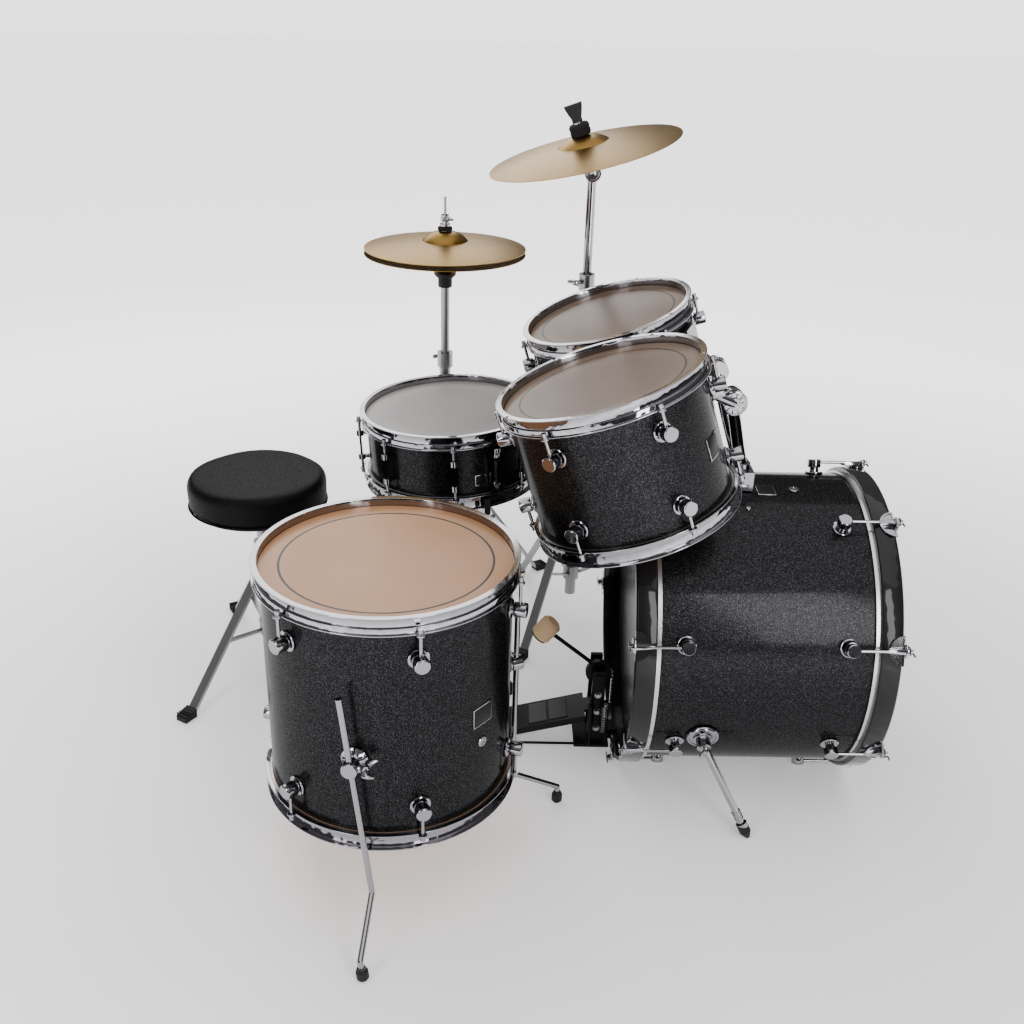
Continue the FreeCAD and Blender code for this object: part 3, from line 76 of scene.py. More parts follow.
def look(yaw, pitch, roll):
    """A camera's turn from its yaw, pitch and roll, as a 3 by 3 matrix."""
    ahead = Vector((math.cos(pitch) * math.cos(yaw), math.cos(pitch) * math.sin(yaw), math.sin(pitch)))
    right = ahead.cross(Vector((0, 0, 1))).normalized()
    up = right.cross(ahead)
    tilted = right * math.cos(roll) + up * math.sin(roll)
    lifted = up * math.cos(roll) - right * math.sin(roll)
    return Matrix((tilted, lifted, -ahead)).transposed()


camera_data = bpy.data.cameras.new("camera")
camera_data.lens = 39.56
camera_data.sensor_width = 36.0
camera = bpy.data.objects.new("camera", camera_data)
bpy.context.scene.collection.objects.link(camera)
camera.matrix_world = Matrix.Translation(EYE) @ look(YAW, PITCH, ROLL).to_4x4()
bpy.context.scene.camera = camera
print("camera", tuple(round(v, 3) for v in camera.location))

# %% [markdown]
# ## Light and floor
#
# Chrome and glossy wrap show whatever surrounds them, so they need large soft lights with darker
# gaps between. One tall softbox stands behind the camera to the right, one to the left, one hangs
# overhead and one opens the shadows from behind. The sky is darkest at the horizon, which gives
# the chrome its black lines, and a camera ray that meets no object sees a pale backdrop instead.


# %% Softboxes, sky and floor
def softbox(name, place, target, width, height, power):
    data = bpy.data.lights.new(name, "AREA")
    data.shape = "RECTANGLE"
    data.size, data.size_y, data.energy = width, height, power
    lamp = bpy.data.objects.new(name, data)
    bpy.context.scene.collection.objects.link(lamp)
    lamp.location = place
    lamp.rotation_euler = (Vector(target) - Vector(place)).to_track_quat("-Z", "Y").to_euler()


CENTRE = (0.0, 0.1, 0.45)
softbox("overhead", (-0.2, 0.1, 3.6), CENTRE, 5.0, 5.0, 70)
softbox("right", (-3.2, -1.3, 1.9), CENTRE, 0.8, 2.4, 38)
softbox("left", (-2.9, 2.4, 1.9), CENTRE, 0.7, 2.4, 24)
softbox("behind", (2.4, 1.0, 2.2), CENTRE, 2.4, 1.6, 30)
world = bpy.data.worlds.new("studio")
bpy.context.scene.world = world
world.use_nodes = True
sky = world.node_tree


def sky_node(kind, **values):
    made = sky.nodes.new("ShaderNode" + kind)
    for key, value in values.items():
        made.inputs[key.replace("_", " ")].default_value = value
    return made


direction = sky_node("TexCoord")
axes = sky_node("SeparateXYZ")
rise = sky_node("MapRange", From_Min=-0.1, From_Max=0.9)
shade = sky.nodes.new("ShaderNodeMix")
shade.data_type = "RGBA"
shade.inputs[6].default_value = (0.02, 0.02, 0.022, 1)
shade.inputs[7].default_value = (1.0, 1.0, 1.0, 1)
room = sky_node("Background", Strength=0.42)
backdrop = sky_node("Background", Color=(1.0, 1.0, 1.0, 1), Strength=1.58)
ray = sky_node("LightPath")
either = sky_node("MixShader")
WIRES = (
    (direction.outputs["Generated"], axes.inputs[0]),
    (axes.outputs["Z"], rise.inputs["Value"]),
    (rise.outputs["Result"], shade.inputs[0]),
    (shade.outputs[2], room.inputs["Color"]),
    (ray.outputs["Is Camera Ray"], either.inputs[0]),
    (room.outputs[0], either.inputs[1]),
    (backdrop.outputs[0], either.inputs[2]),
    (either.outputs[0], sky.nodes["World Output"].inputs[0]),
)
for start, end in WIRES:
    sky.links.new(start, end)
bpy.ops.mesh.primitive_plane_add(size=60, location=(0, 0, -0.0005))
floor = bpy.context.object
floor.name = "floor"
bpy.context.scene.view_settings.look = "AgX - Medium High Contrast"
print("4 softboxes")

# %% [markdown]
# ## A small language for finishes
#
# A procedural finish is a graph of nodes: textures feed arithmetic, arithmetic feeds the shader.
# Written out node by node that is long, so a small class wraps a node's output. Plain +, -, * and
# / on it add Math nodes, and every other node is made by one method.


# %% Wrapped sockets
class Flow:
    """One output in a finish's graph. Arithmetic on it adds Math nodes."""

    def __init__(self, finish, socket):
        self.finish, self.socket = finish, socket

    def math(self, operation, *others, first=None):
        values = [self if first is None else first] + list(others)
        return self.finish.node("Math", values, operation=operation)

    def __add__(self, other):
        return self.math("ADD", other)

    def __sub__(self, other):
        return self.math("SUBTRACT", other)

    def __rsub__(self, other):
        return self.math("SUBTRACT", self, first=other)

    def __mul__(self, other):
        return self.math("MULTIPLY", other)

    __radd__, __rmul__ = __add__, __mul__

    def __truediv__(self, other):
        return self.math("DIVIDE", other)

    def __pow__(self, other):
        return self.math("POWER", other)

    def step(self, low, high):
        """0 below low, 1 above high, smooth between them."""
        return self.finish.node("MapRange", [self, low, high, 0.0, 1.0], interpolation_type="SMOOTHSTEP")

    def band(self, low, high, soft):
        """1 between low and high, 0 outside them."""
        return self.step(low - soft, low) * (1 - self.step(high, high + soft))


class Finish:
    """A material, its shader, and one method that makes any node."""

    def __init__(self, name, **shader):
        self.name = name
        self.material = bpy.data.materials.new(name)
        self.material.use_nodes = True
        self.tree = self.material.node_tree
        self.shader = self.tree.nodes["Principled BSDF"]
        for socket, value in shader.items():
            self.set(socket, value)

    def set(self, socket, value):
        """Give a shader socket a number, a colour or a flow; names use _ for spaces."""
        self.fill(self.shader.inputs[socket.replace("_", " ")], value)

    def fill(self, socket, value):
        if isinstance(value, Flow):
            self.tree.links.new(value.socket, socket)
        elif isinstance(value, tuple) and len(value) == 3 and socket.type == "RGBA":
            socket.default_value = (*value, 1.0)
        else:
            socket.default_value = value

    def node(self, kind, values=(), output=0, **settings):
        made = self.tree.nodes.new("ShaderNode" + kind)
        named = values if isinstance(values, dict) else dict(enumerate(values))
        for key, value in settings.items():
            setattr(made, key, value)
        for key, value in named.items():
            self.fill(made.inputs[key], value)
        return Flow(self, made.outputs[output])

    def place(self, origin=(0, 0, 0), turn=(0, 0, 0), stretch=(1, 1, 1)):
        """Object coordinates measured from an origin, after a turn in radians."""
        spot = self.node("TexCoord", output="Object")
        moved = self.node("Mapping", {"Vector": spot, "Location": tuple(-v for v in origin)})
        turned = self.node("Mapping", {"Vector": moved, "Rotation": turn})
        return self.node("Mapping", {"Vector": turned, "Scale": stretch})

    def parts(self, place):
        """The X, Y and Z of a place."""
        made = self.node("SeparateXYZ", [place]).socket.node
        return [Flow(self, made.outputs[i]) for i in range(3)]

    def from_axis(self, middle, turn):
        """How far a point is from the axis of a round piece, and its height along that axis."""
        x, y, z = self.parts(self.place(middle, turn))
        return (x * x + y * y).math("SQRT"), z

    def noise(self, scale, detail=3.0, place=None):
        return self.node("TexNoise", {"Vector": place or self.place(), "Scale": scale, "Detail": detail})

    def blend(self, amount, first, second):
        """One colour turning into another."""
        made = self.tree.nodes.new("ShaderNodeMix")
        made.data_type = "RGBA"
        for key, value in ((0, amount), (6, first), (7, second)):
            self.fill(made.inputs[key], value)
        return Flow(self, made.outputs[2])

    def bump(self, height, depth, strength):
        self.set("Normal", self.node("Bump", {"Height": height, "Distance": depth, "Strength": strength}))


def grey(value):
    return value, value, value


print("finish language ready")

# %% [markdown]
# ## Metals
#
# Chrome plate is a mirror with faint smudges; its life comes from the room, so only its roughness
# varies. The tripods are duller: satin plate, with fine streaks drawn along it. Legs and spurs
# end in rubber, and one finish does both, because it knows its height above the floor.


# %% Chrome, satin steel and black metal
def smudged(finish, clean, dull, scale=14.0):
    """Roughness that drifts between two values."""
    return clean + finish.noise(scale, 5.0) ** 2.0 * (dull - clean)


chrome = Finish("chrome_plate", Base_Color=(0.37, 0.36, 0.38), Metallic=1.0)
chrome.set("Roughness", smudged(chrome, 0.04, 0.24))
satin = Finish("satin_steel", Base_Color=(0.34, 0.34, 0.35), Metallic=1.0)
streaks = satin.noise(60.0, 4.0, satin.place(stretch=(8, 8, 1)))
satin.set("Roughness", 0.22 + streaks * 0.22)
satin.bump(streaks, 0.0002, 0.3)
black_metal = Finish("black_metal", Base_Color=(0.010, 0.010, 0.011), Specular_IOR_Level=0.3)
grit = black_metal.noise(900.0, 2.0)
black_metal.set("Roughness", 0.30 + grit * 0.2)
black_metal.bump(grit, 0.0002, 0.4)


def booted(name, height):
    """Chrome that turns into black rubber below a height in millimetres."""
    made = Finish(name)
    up = made.parts(made.place())[2]
    plated = up.step((height - 0.5) * MM, (height + 0.5) * MM)
    made.set("Base_Color", made.blend(plated, grey(0.014), (0.37, 0.36, 0.38)))
    made.set("Metallic", plated)
    made.set("Roughness", 0.55 + plated * (smudged(made, 0.04, 0.24) - 0.55))
    return made


leg_chrome = booted("leg_chrome", 24.4)
spur_chrome = booted("spur_chrome", 27.0)
print("5 metals")

# %% [markdown]
# ## Sparkle wrap over a wooden shell
#
# The shells wear a plastic wrap with metal flakes under a clear skin. Cells of a Voronoi texture
# each get one random value: most stay near black and the few brightest become flakes, and the
# same values tip the surface a little, so the flakes glint one by one. Inside, the shell is bare
# wood. One finish does both, because a drum's surface knows how far it is from the drum's axis.


# %% Wrapped shells
def wrap(name, middle, turn, radius):
    """Charcoal sparkle outside the radius, pale plywood inside it."""
    made = Finish(name, Coat_Roughness=0.12, Coat_IOR=1.3, Specular_Tint=(0.25, 0.25, 0.26))
    reach, _ = made.from_axis(middle, turn)
    outside = reach.step(radius - 2.2 * MM, radius - 1.2 * MM)
    flake = made.node("TexVoronoi", {"Vector": made.place(), "Scale": 1500.0}, output="Color")
    value, tip, _ = made.parts(flake)
    glitter = value.step(0.6, 1.0) * tip
    cloud = made.noise(5.0, 2.0) * 0.5
    dark = made.blend(cloud, (0.006, 0.006, 0.007), (0.014, 0.014, 0.015))
    sparkle = made.blend(glitter, dark, (0.20, 0.20, 0.215))
    grain = made.noise(9.0, 6.0, made.place(middle, turn, (1, 1, 14)))
    ply = made.blend(grain, (0.36, 0.20, 0.10), (0.60, 0.40, 0.23))
    made.set("Base_Color", made.blend(outside, ply, sparkle))
    made.set("Metallic", outside * 0.8)
    made.set("Coat_Weight", outside * 0.55)
    made.set("Roughness", 0.55 - outside * 0.17)
    made.bump(tip * outside, 0.00003, 0.2)
    return made


KIT = {
    "bass": ((math.radians(90), 0, 0), 0.2794),
    "floor_tom": ((0, 0, 0), 0.2032),
    "tom_near": ((math.radians(18.4), math.radians(-1.1), 0), 0.1651),
    "tom_far": ((math.radians(16.7), math.radians(2.5), 0), 0.1524),
    "snare": ((math.radians(3.0), math.radians(1.1), 0), 0.1778),
}


def middle_of(node_name):
    low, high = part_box(node_name)
    return (low + high) / 2


shell_wraps = {key: wrap(key + "_wrap", middle_of(key + "_shell"), turn, radius)
               for key, (turn, radius) in KIT.items()}
print(len(shell_wraps), "wrapped shells")

# %% [markdown]
# ## Drumheads
#
# A head is a thin film pulled over the shell by a metal flesh hoop. The toms have cloudy two-ply
# films with a thin black ring printed on them, tan over the bare wood inside. The bass drum's
# heads are glossy black, and the snare's are coated like fine paper. The flesh hoop lies outside
# the shell's radius, so the same distance from the axis tells film and bare metal apart.


# %% Films with their flesh hoops
def head(name, key, inner, outer, alpha=1.0, ring=False, gloss=0.26, tooth=0.0):
    """A film that changes from an inner to an outer colour, with its metal hoop."""
    turn, radius = KIT[key]
    made = Finish(name)
    reach, _ = made.from_axis(middle_of(key + "_shell"), turn)
    hoop = reach.step(radius + 1.2 * MM, radius + 1.8 * MM)
    mottle = made.noise(9.0, 4.0)
    film = made.blend((reach / radius).step(0.62, 0.98), inner, outer)
    film = made.blend(mottle * 0.35, film, tuple(v * 0.72 for v in inner))
    if ring:
        film = made.blend(reach.band(radius * 0.836, radius * 0.853, 0.3 * MM), film, (0.012, 0.010, 0.010))
    made.set("Base_Color", made.blend(hoop, film, (0.60, 0.60, 0.61)))
    made.set("Metallic", hoop)
    made.set("Roughness", gloss + mottle * 0.12 + hoop * 0.05)
    if alpha < 1.0:
        made.set("Alpha", alpha + hoop * (1 - alpha))
    if tooth:
        made.bump(made.noise(1800.0), tooth, 0.5)
    return made


heads = {
    "floor_tom": head("floor_tom_film", "floor_tom", (0.52, 0.28, 0.15), (0.54, 0.30, 0.165), 0.94, True),
    "tom_near": head("tom_near_film", "tom_near", (0.16, 0.105, 0.078), (0.25, 0.18, 0.125), 0.92, True),
    "tom_far": head("tom_far_film", "tom_far", (0.17, 0.115, 0.085), (0.25, 0.18, 0.13), 0.92, True),
    "snare": head("snare_film", "snare", (0.46, 0.44, 0.44), (0.56, 0.55, 0.54), gloss=0.45, tooth=0.0003),
    "bass": head("bass_film", "bass", (0.012, 0.012, 0.013), (0.016, 0.016, 0.017), gloss=0.16),
}
print(len(heads), "kinds of head")

# %% [markdown]
# ## Lacquer, rubber, vinyl and felt
#
# The wooden hoops are lacquered black: a dark colour under a clear coat. Rubber is matt and
# slightly dusty, vinyl has a pebble grain, and felt is nothing but fibres, so its colour,
# roughness and bump all come from one fine noise.

# %% Soft and dark finishes
lacquer = Finish("black_wood", Coat_Weight=1.0, Coat_Roughness=0.05, Coat_IOR=1.36, Specular_IOR_Level=0.2)
lacquer.set("Base_Color", lacquer.blend(lacquer.noise(25.0, 5.0), grey(0.006), (0.016, 0.015, 0.015)))
lacquer.set("Roughness", 0.3 + lacquer.noise(90.0) * 0.15)
rubber = Finish("black_rubber")
rubber.set("Base_Color", rubber.blend(rubber.noise(80.0), grey(0.010), grey(0.024)))
rubber.set("Roughness", 0.5 + rubber.noise(400.0) * 0.2)
vinyl = Finish("black_vinyl", Specular_IOR_Level=0.2)
cells = vinyl.node("TexVoronoi", {"Vector": vinyl.place(), "Scale": 420.0}, output="Distance")
vinyl.set("Base_Color", vinyl.blend(vinyl.noise(12.0), grey(0.003), grey(0.007)))
vinyl.set("Roughness", 0.38 + cells * 0.3)
vinyl.bump(cells, 0.0004, 0.5)


def felted(name, dark, light):
    made = Finish(name)
    fibres = made.noise(700.0, 6.0)
    made.set("Base_Color", made.blend(fibres, dark, light))
    made.set("Roughness", 0.85 + fibres * 0.1)
    made.bump(fibres, 0.0006, 0.7)
    return made


felt = felted("beater_felt", (0.50, 0.33, 0.18), (0.86, 0.66, 0.44))
black_felt = felted("black_felt", grey(0.008), grey(0.03))
pad_grey = felted("grip_pad", grey(0.12), grey(0.22))
print("lacquer, rubber, vinyl and 3 felts")

# %% [markdown]
# ## Lathed bronze
#
# Cymbals are turned on a lathe, which cuts fine rings around the bell. The rings follow the
# distance from the cymbal's axis, so the finish measures that distance after standing the cymbal
# upright, and uses it for colour, roughness and a shallow bump.


# %% Bronze for each cymbal
def bronze(name, middle, turn=(0, 0, 0)):
    made = Finish(name, Metallic=1.0)
    reach, _ = made.from_axis(middle, turn)
    rings = (reach * 3400.0).math("SINE") * 0.5 + 0.5
    bands = made.node("TexNoise", {"W": reach * 260.0, "Scale": 1.0, "Detail": 5.0}, noise_dimensions="1D")
    patina = made.noise(7.0, 5.0)
    light = made.blend(bands, (0.20, 0.120, 0.038), (0.33, 0.215, 0.080))
    made.set("Base_Color", made.blend(patina * 0.6, light, (0.23, 0.15, 0.05)))
    made.set("Roughness", 0.24 + bands * 0.14 + patina * 0.10)
    made.bump(rings * 0.6 + bands * 0.4, 0.00015, 0.6)
    return made


hat_bronze = bronze("hat_bronze", middle_of("hihat_top_cymbal"))
crash_bronze = bronze("crash_bronze", middle_of("crash_cymbal"), (math.radians(14.2), math.radians(2.7), 0))
print("2 bronzes")

# %% [markdown]
# ## Who wears what
#
# Most of the small hardware is plated, so every node gets chrome first and the others are named.
# The floor is matt and pale. It glows a little more further out, where it has to run into the
# bright backdrop without an edge.

# %% Finishes go on the nodes and the floor
WEARS = dict.fromkeys(nodes, chrome)
WEARS.update({key + "_shell": made for key, made in shell_wraps.items()})
WEARS.update({key + "_heads": made for key, made in heads.items()})
WEARS.update({key + "_tripod": satin for key in ("hihat", "cymbal", "snare", "throne")})
WEARS.update({"floor_tom_leg_" + key: leg_chrome for key in ("back", "outer", "front")})
WEARS.update({"spur_" + key: spur_chrome for key in ("left", "right")})
WEARS.update({key: black_metal for key in ("pedal_beater_shaft", "pedal_frame", "pedal_footboard",
                                           "hihat_footboard")})
WEARS.update({"bass_hoops": lacquer, "stand_feet": rubber, "throne_seat": vinyl, "pedal_beater": felt,
              "hihat_top_cymbal": hat_bronze, "hihat_bottom_cymbal": hat_bronze,
              "crash_cymbal": crash_bronze})
for name, finish in WEARS.items():
    nodes[name].data.materials.clear()
    nodes[name].data.materials.append(finish.material)
ground = Finish("pale_floor")
ground.set("Base_Color", ground.blend(ground.noise(3.0), grey(0.84), grey(0.88)))
ground.set("Roughness", 0.6 + ground.noise(20.0) * 0.1)
away, _ = ground.from_axis((0, 0, 0), (0, 0, 0))
ground.set("Emission_Color", ground.blend(away.step(0.6, 3.2), grey(0.30), grey(1.25)))
ground.shader.inputs["Emission Strength"].default_value = 1.0
floor.data.materials.append(ground.material)
print(len(WEARS), "nodes finished, and the floor")

# %% [markdown]
# ## Softened edges
#
# Cast or pressed metal and turned wood have no knife edges: corners catch a line of light. The exact
# model's meshes are loose triangles, so a Weld modifier joins them first, and a Bevel modifier
# then rounds whatever turns by more than 40 degrees. The meshes themselves aren't touched.


# %% Weld and bevel
MERGE = 0.00001


def soften(name, width):
    weld = nodes[name].modifiers.new("weld", "WELD")
    weld.merge_threshold = MERGE
    bevel = nodes[name].modifiers.new("bevel", "BEVEL")
    bevel.width = width * MM
    bevel.segments = 2
    bevel.limit_method = "ANGLE"
    bevel.angle_limit = math.radians(40)
    bevel.harden_normals = True


SOFT_EDGES = {"bass_lugs": 0.9, "bass_brackets": 1.2, "bass_hoops": 1.0, "snare_hoops": 0.7,
              "snare_strainer": 1.2, "snare_strainer_lever": 0.8, "pedal_frame": 0.9,
              "pedal_footboard": 1.2, "hihat_footboard": 1.2, "cymbal_tilter": 0.6,
              "cymbal_upper_tube": 0.8}
for key in ("floor_tom", "tom_near", "tom_far"):
    SOFT_EDGES.update({key + "_lugs": 0.9, key + "_hoops": 0.7})
for key in ("tom_near", "tom_far"):
    SOFT_EDGES.update({key + "_bracket": 1.5, key + "_post": 1.5})
for name, width in SOFT_EDGES.items():
    soften(name, width)
print(len(SOFT_EDGES), "nodes with rounded edges")

# %% [markdown]
# ## Making a piece by hand
#
# Every new piece starts as a primitive and is shaped in edit mode. A lathe-turned piece is a
# disc that is extruded and resized once for each step of its profile; a cast block is a cube
# with its edges rounded.


# %% Helpers for modelling
def alone(*pieces):
    """Select these objects and nothing else."""
    bpy.ops.object.select_all(action="DESELECT")
    for piece in pieces:
        piece.select_set(True)
    if pieces:
        bpy.context.view_layer.objects.active = pieces[0]


def edit():
    """Go to edit mode with every face selected."""
    bpy.ops.object.mode_set(mode="EDIT")
    bpy.context.tool_settings.mesh_select_mode = (False, False, True)
    bpy.ops.mesh.select_all(action="SELECT")


def leave():
    """Turn every face outwards and go back to object mode."""
    bpy.ops.mesh.select_all(action="SELECT")
    bpy.ops.mesh.normals_make_consistent(inside=False)
    bpy.ops.object.mode_set(mode="OBJECT")
    return bpy.context.object


def choose(test):
    """Select the faces whose middle and normal pass a test."""
    bpy.ops.mesh.select_all(action="DESELECT")
    data = bpy.context.object.data
    mesh = bmesh.from_edit_mesh(data)
    for face in mesh.faces:
        face.select_set(test(face.calc_center_median(), face.normal))
    bmesh.update_edit_mesh(data)


def extrude(rise):
    """Pull the selected faces out along Z, in millimetres."""
    bpy.ops.mesh.extrude_region_move(TRANSFORM_OT_translate={"value": (0, 0, rise * MM)})


def lathe(profile, sides=32):
    """A turned solid about Z from its profile of (radius, height) pairs in millimetres."""
    (radius, height), *steps = profile
    alone()
    bpy.ops.mesh.primitive_circle_add(vertices=sides, radius=radius * MM, fill_type="NGON")
    edit()
    bpy.ops.transform.translate(value=(0, 0, height * MM))
    for wider, higher in steps:
        extrude(higher - height)
        factor = wider / radius
        bpy.ops.transform.resize(value=(factor, factor, 1), center_override=(0, 0, higher * MM))
        radius, height = wider, higher
    return leave()


def cube(size, centre):
    """A box in millimetres, left in edit mode."""
    alone()
    bpy.ops.mesh.primitive_cube_add(size=1, location=Vector(centre) * MM, scale=Vector(size) * MM)
    bpy.ops.object.transform_apply(location=True, rotation=True, scale=True)
    edit()


def block(size, rounding, centre=(0, 0, 0)):
    """A box with rounded edges, centred at a point; sizes in millimetres."""
    cube(size, centre)
    bpy.ops.mesh.bevel(offset=rounding * MM, segments=2, affect="EDGES")
    return leave()


def applied(piece, kind, **settings):
    """Give a piece a modifier with its settings, and apply it."""
    modifier = piece.modifiers.new(kind.lower(), kind)
    for key, value in settings.items():
        setattr(modifier, key, value)
    bpy.context.view_layer.objects.active = piece
    bpy.ops.object.modifier_apply(modifier=modifier.name)


def turned_to(piece, where):
    """Put a piece's place into its mesh."""
    piece.data.transform(where)
    return piece


def together(pieces):
    """Join several pieces into one mesh."""
    alone(*pieces)
    bpy.ops.object.join()
    return bpy.context.object


def dressed(piece, finish, smooth=38, slot=None):
    """A finished pattern piece. Its slot is named after its finish unless another is given."""
    piece.data.materials.clear()
    piece.data.materials.append(finish.material)
    alone(piece)
    bpy.ops.object.shade_smooth_by_angle(angle=math.radians(smooth))
    piece["slot"] = slot or finish.name
    return piece


made_pieces = []


def stamp(pattern, name, where, body="kit_base"):
    """A copy of a pattern piece, placed in its own mesh, riding on a body."""
    piece = pattern.copy()
    piece.data = pattern.data.copy()
    piece.name = name
    bpy.context.scene.collection.objects.link(piece)
    piece.data.transform(where)
    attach(piece, body)
    made_pieces.append(piece)
    return piece


def put_away(*patterns):
    for pattern in patterns:
        bpy.data.objects.remove(pattern)


def spun(axis, degrees):
    """A turn about one axis."""
    return Matrix.Rotation(math.radians(degrees), 4, axis)


Z_TO_X, Z_TO_Y = spun("Y", 90), spun("X", -90)


def at(x, y, z, lean=0.0, spin=0.0):
    """A place in millimetres: spun about Z, then leaned towards +Y."""
    return Matrix.Translation(Vector((x, y, z)) * MM) @ spun("X", -lean) @ spun("Z", spin)


def along(start, end, spin=0.0):
    """A place at start, in metres, whose Z axis points to end."""
    turn = (Vector(end) - Vector(start)).to_track_quat("Z", "Y").to_matrix().to_4x4()
    return Matrix.Translation(Vector(start)) @ turn @ spun("Z", spin)


def landing(name, start, way):
    """Where a ray from a point in millimetres meets a node, as a place with Z off its surface."""
    hit, spot, normal, _ = nodes[name].ray_cast(Vector(start) * MM, Vector(way))
    assert hit, name
    return along(spot, spot + normal)


def drum_frame(key):
    """A drum's own axes at its middle: Z towards the batter side."""
    turn = KIT[key][0]
    upright = Matrix.Rotation(turn[0], 4, "X").inverted() @ Matrix.Rotation(turn[1], 4, "Y").inverted()
    return Matrix.Translation(middle_of(key + "_shell")) @ upright


def on_shell(key, azimuth, height):
    """A place on a drum's side: X along the shell, Y up its axis, Z straight out."""
    shift = Matrix.Translation(Vector((KIT[key][1], 0, height * MM)))
    facing = Matrix(((0, 0, 1, 0), (1, 0, 0, 0), (0, 1, 0, 0), (0, 0, 0, 1)))
    return drum_frame(key) @ spun("Z", azimuth) @ shift @ facing


print("modelling helpers ready")

# %% [markdown]
# ## The throne's cushion
#
# The seat is a round foam pad under stretched vinyl, with its edge rolled over a sewn welt. It
# starts as a lathe-turned block a little smaller than the finished pad. The cloth simulation
# blows it up from inside, and the travel of each point is capped so that it keeps its outline.
# The sides crown and the top swells slightly, which no straight wall could imitate.

# %% Blow up the cushion
SWELL = 5 * MM
EVENING = 60


def cushion_form(low, high, radius, edge):
    """The pad before it swells, from the seat's box."""
    steps = [(radius * 0.55, low), (radius - 14, low), (radius - 7, low + 3), (radius - 4, low + 9)]
    steps += [(radius - 3, high - edge - 6)]
    for i in range(1, 7):
        angle = math.radians(i * 15)
        steps.append((radius - 3 - edge * (1 - math.cos(angle)),
                      high - edge - 6 + (edge + 3) * math.sin(angle)))
    steps += [(radius * 0.6, high - 2), (radius * 0.2, high - 1.5)]
    return lathe(steps, sides=64)


def inflate(piece, swell, pressure=4.0, steps=20):
    """Cloth under pressure, with each point's travel capped, applied to the mesh."""
    applied(piece, "REMESH", mode="VOXEL", voxel_size=0.006)
    before = [v.co.copy() for v in piece.data.vertices]
    cloth = piece.modifiers.new("cloth", "CLOTH")
    cloth.settings.use_pressure = True
    cloth.settings.uniform_pressure_force = pressure
    cloth.settings.effector_weights.gravity = 0
    for step in range(1, steps + 1):
        bpy.context.scene.frame_set(step)
    bpy.ops.object.modifier_apply(modifier=cloth.name)
    bpy.context.scene.frame_set(1)
    travel = [v.co - start for v, start in zip(piece.data.vertices, before)]
    links = [[] for _ in before]
    for edge in piece.data.edges:
        first, second = edge.vertices
        links[first].append(second)
        links[second].append(first)
    for _ in range(EVENING):
        travel = [sum((travel[k] for k in near), here) / (len(near) + 1)
                  for here, near in zip(travel, links)]
    for vertex, start, shift in zip(piece.data.vertices, before, travel):
        vertex.co = start + shift.normalized() * min(shift.length, swell)
    free = max(shift.length for shift in travel) / MM
    print("the cloth would travel", round(free, 1), "mm, and is held to", round(swell / MM, 1))


seat_low, seat_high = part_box("throne_seat")
seat_radius = (seat_high.x - seat_low.x) / 2 / MM
seat_tall = (seat_high.z - seat_low.z) / MM
seat_middle = ((seat_low.x + seat_high.x) / 2 / MM, (seat_low.y + seat_high.y) / 2 / MM, seat_low.z / MM)
seat = cushion_form(6.5, seat_tall - 2, seat_radius, 15)
inflate(seat, SWELL)
applied(seat, "SUBSURF", levels=1, render_levels=1)
dressed(seat, vinyl, 180)
cushion = stamp(seat, "throne_cushion", at(*seat_middle), "throne_seat")
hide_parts("throne_seat")

pan = dressed(lathe([(seat_radius - 40, 0), (seat_radius - 20, 0), (seat_radius - 17, 2),
                     (seat_radius - 17, 7.5), (seat_radius - 26, 7.5)], 64), black_metal)
alone()
bpy.ops.mesh.primitive_torus_add(major_segments=96, minor_segments=10,
                                 major_radius=(seat_radius - 9) * MM, minor_radius=2.6 * MM)
edit()
bpy.ops.transform.resize(value=(1, 1, 0.8))
welt = dressed(leave(), vinyl, 180)
stamp(pan, "throne_pan", at(*seat_middle), "throne_seat")
stamp(welt, "throne_welt_low", at(*seat_middle) @ at(0, 0, 10), "throne_seat")
put_away(seat, pan, welt)

# %% [markdown]
# ## Wing nuts and wing bolts
#
# A stand's height clamp is closed with a wing bolt. The crash stand and the throne show theirs,
# and the hi-hat's clutch has a smaller one. The wings are cast, so they are modelled as a box
# whose ends are extruded and widened, then rounded by two levels of subdivision, and a turned
# hub joins them.


# %% The wing bolt pattern
def wing_form(span, tall, thick, hub, stem):
    """Wings along X, the bolt along Z from its seat upwards; sizes in millimetres."""
    cube((hub * 1.5, thick, tall * 0.45), (0, 0, stem + hub))
    reach = (span / 2 - hub * 0.75) * MM
    for share, widen in ((0.45, 1.5), (0.4, 1.35), (0.15, 0.8)):
        choose(lambda spot, normal: abs(normal.x) > 0.9)
        bpy.ops.mesh.extrude_region_shrink_fatten(TRANSFORM_OT_shrink_fatten={"value": reach * share})
        bpy.ops.transform.resize(value=(1, 0.92, widen), center_override=(0, 0, (stem + hub) * MM))
        bpy.ops.transform.translate(value=(0, 0, tall * 0.10 * MM))
    wings = leave()
    applied(wings, "SUBSURF", levels=2, render_levels=2)
    bolt = lathe([(2.4, -1), (2.4, stem), (hub - 1, stem), (hub, stem + 1.5), (hub, stem + hub * 1.4),
                  (hub - 1.5, stem + hub * 1.8), (2, stem + hub * 1.9)], 24)
    return together([wings, bolt])


wing = dressed(wing_form(38, 15, 9.5, 6.0, 3), chrome, 60)
print("wing bolt:", len(wing.data.polygons), "faces")

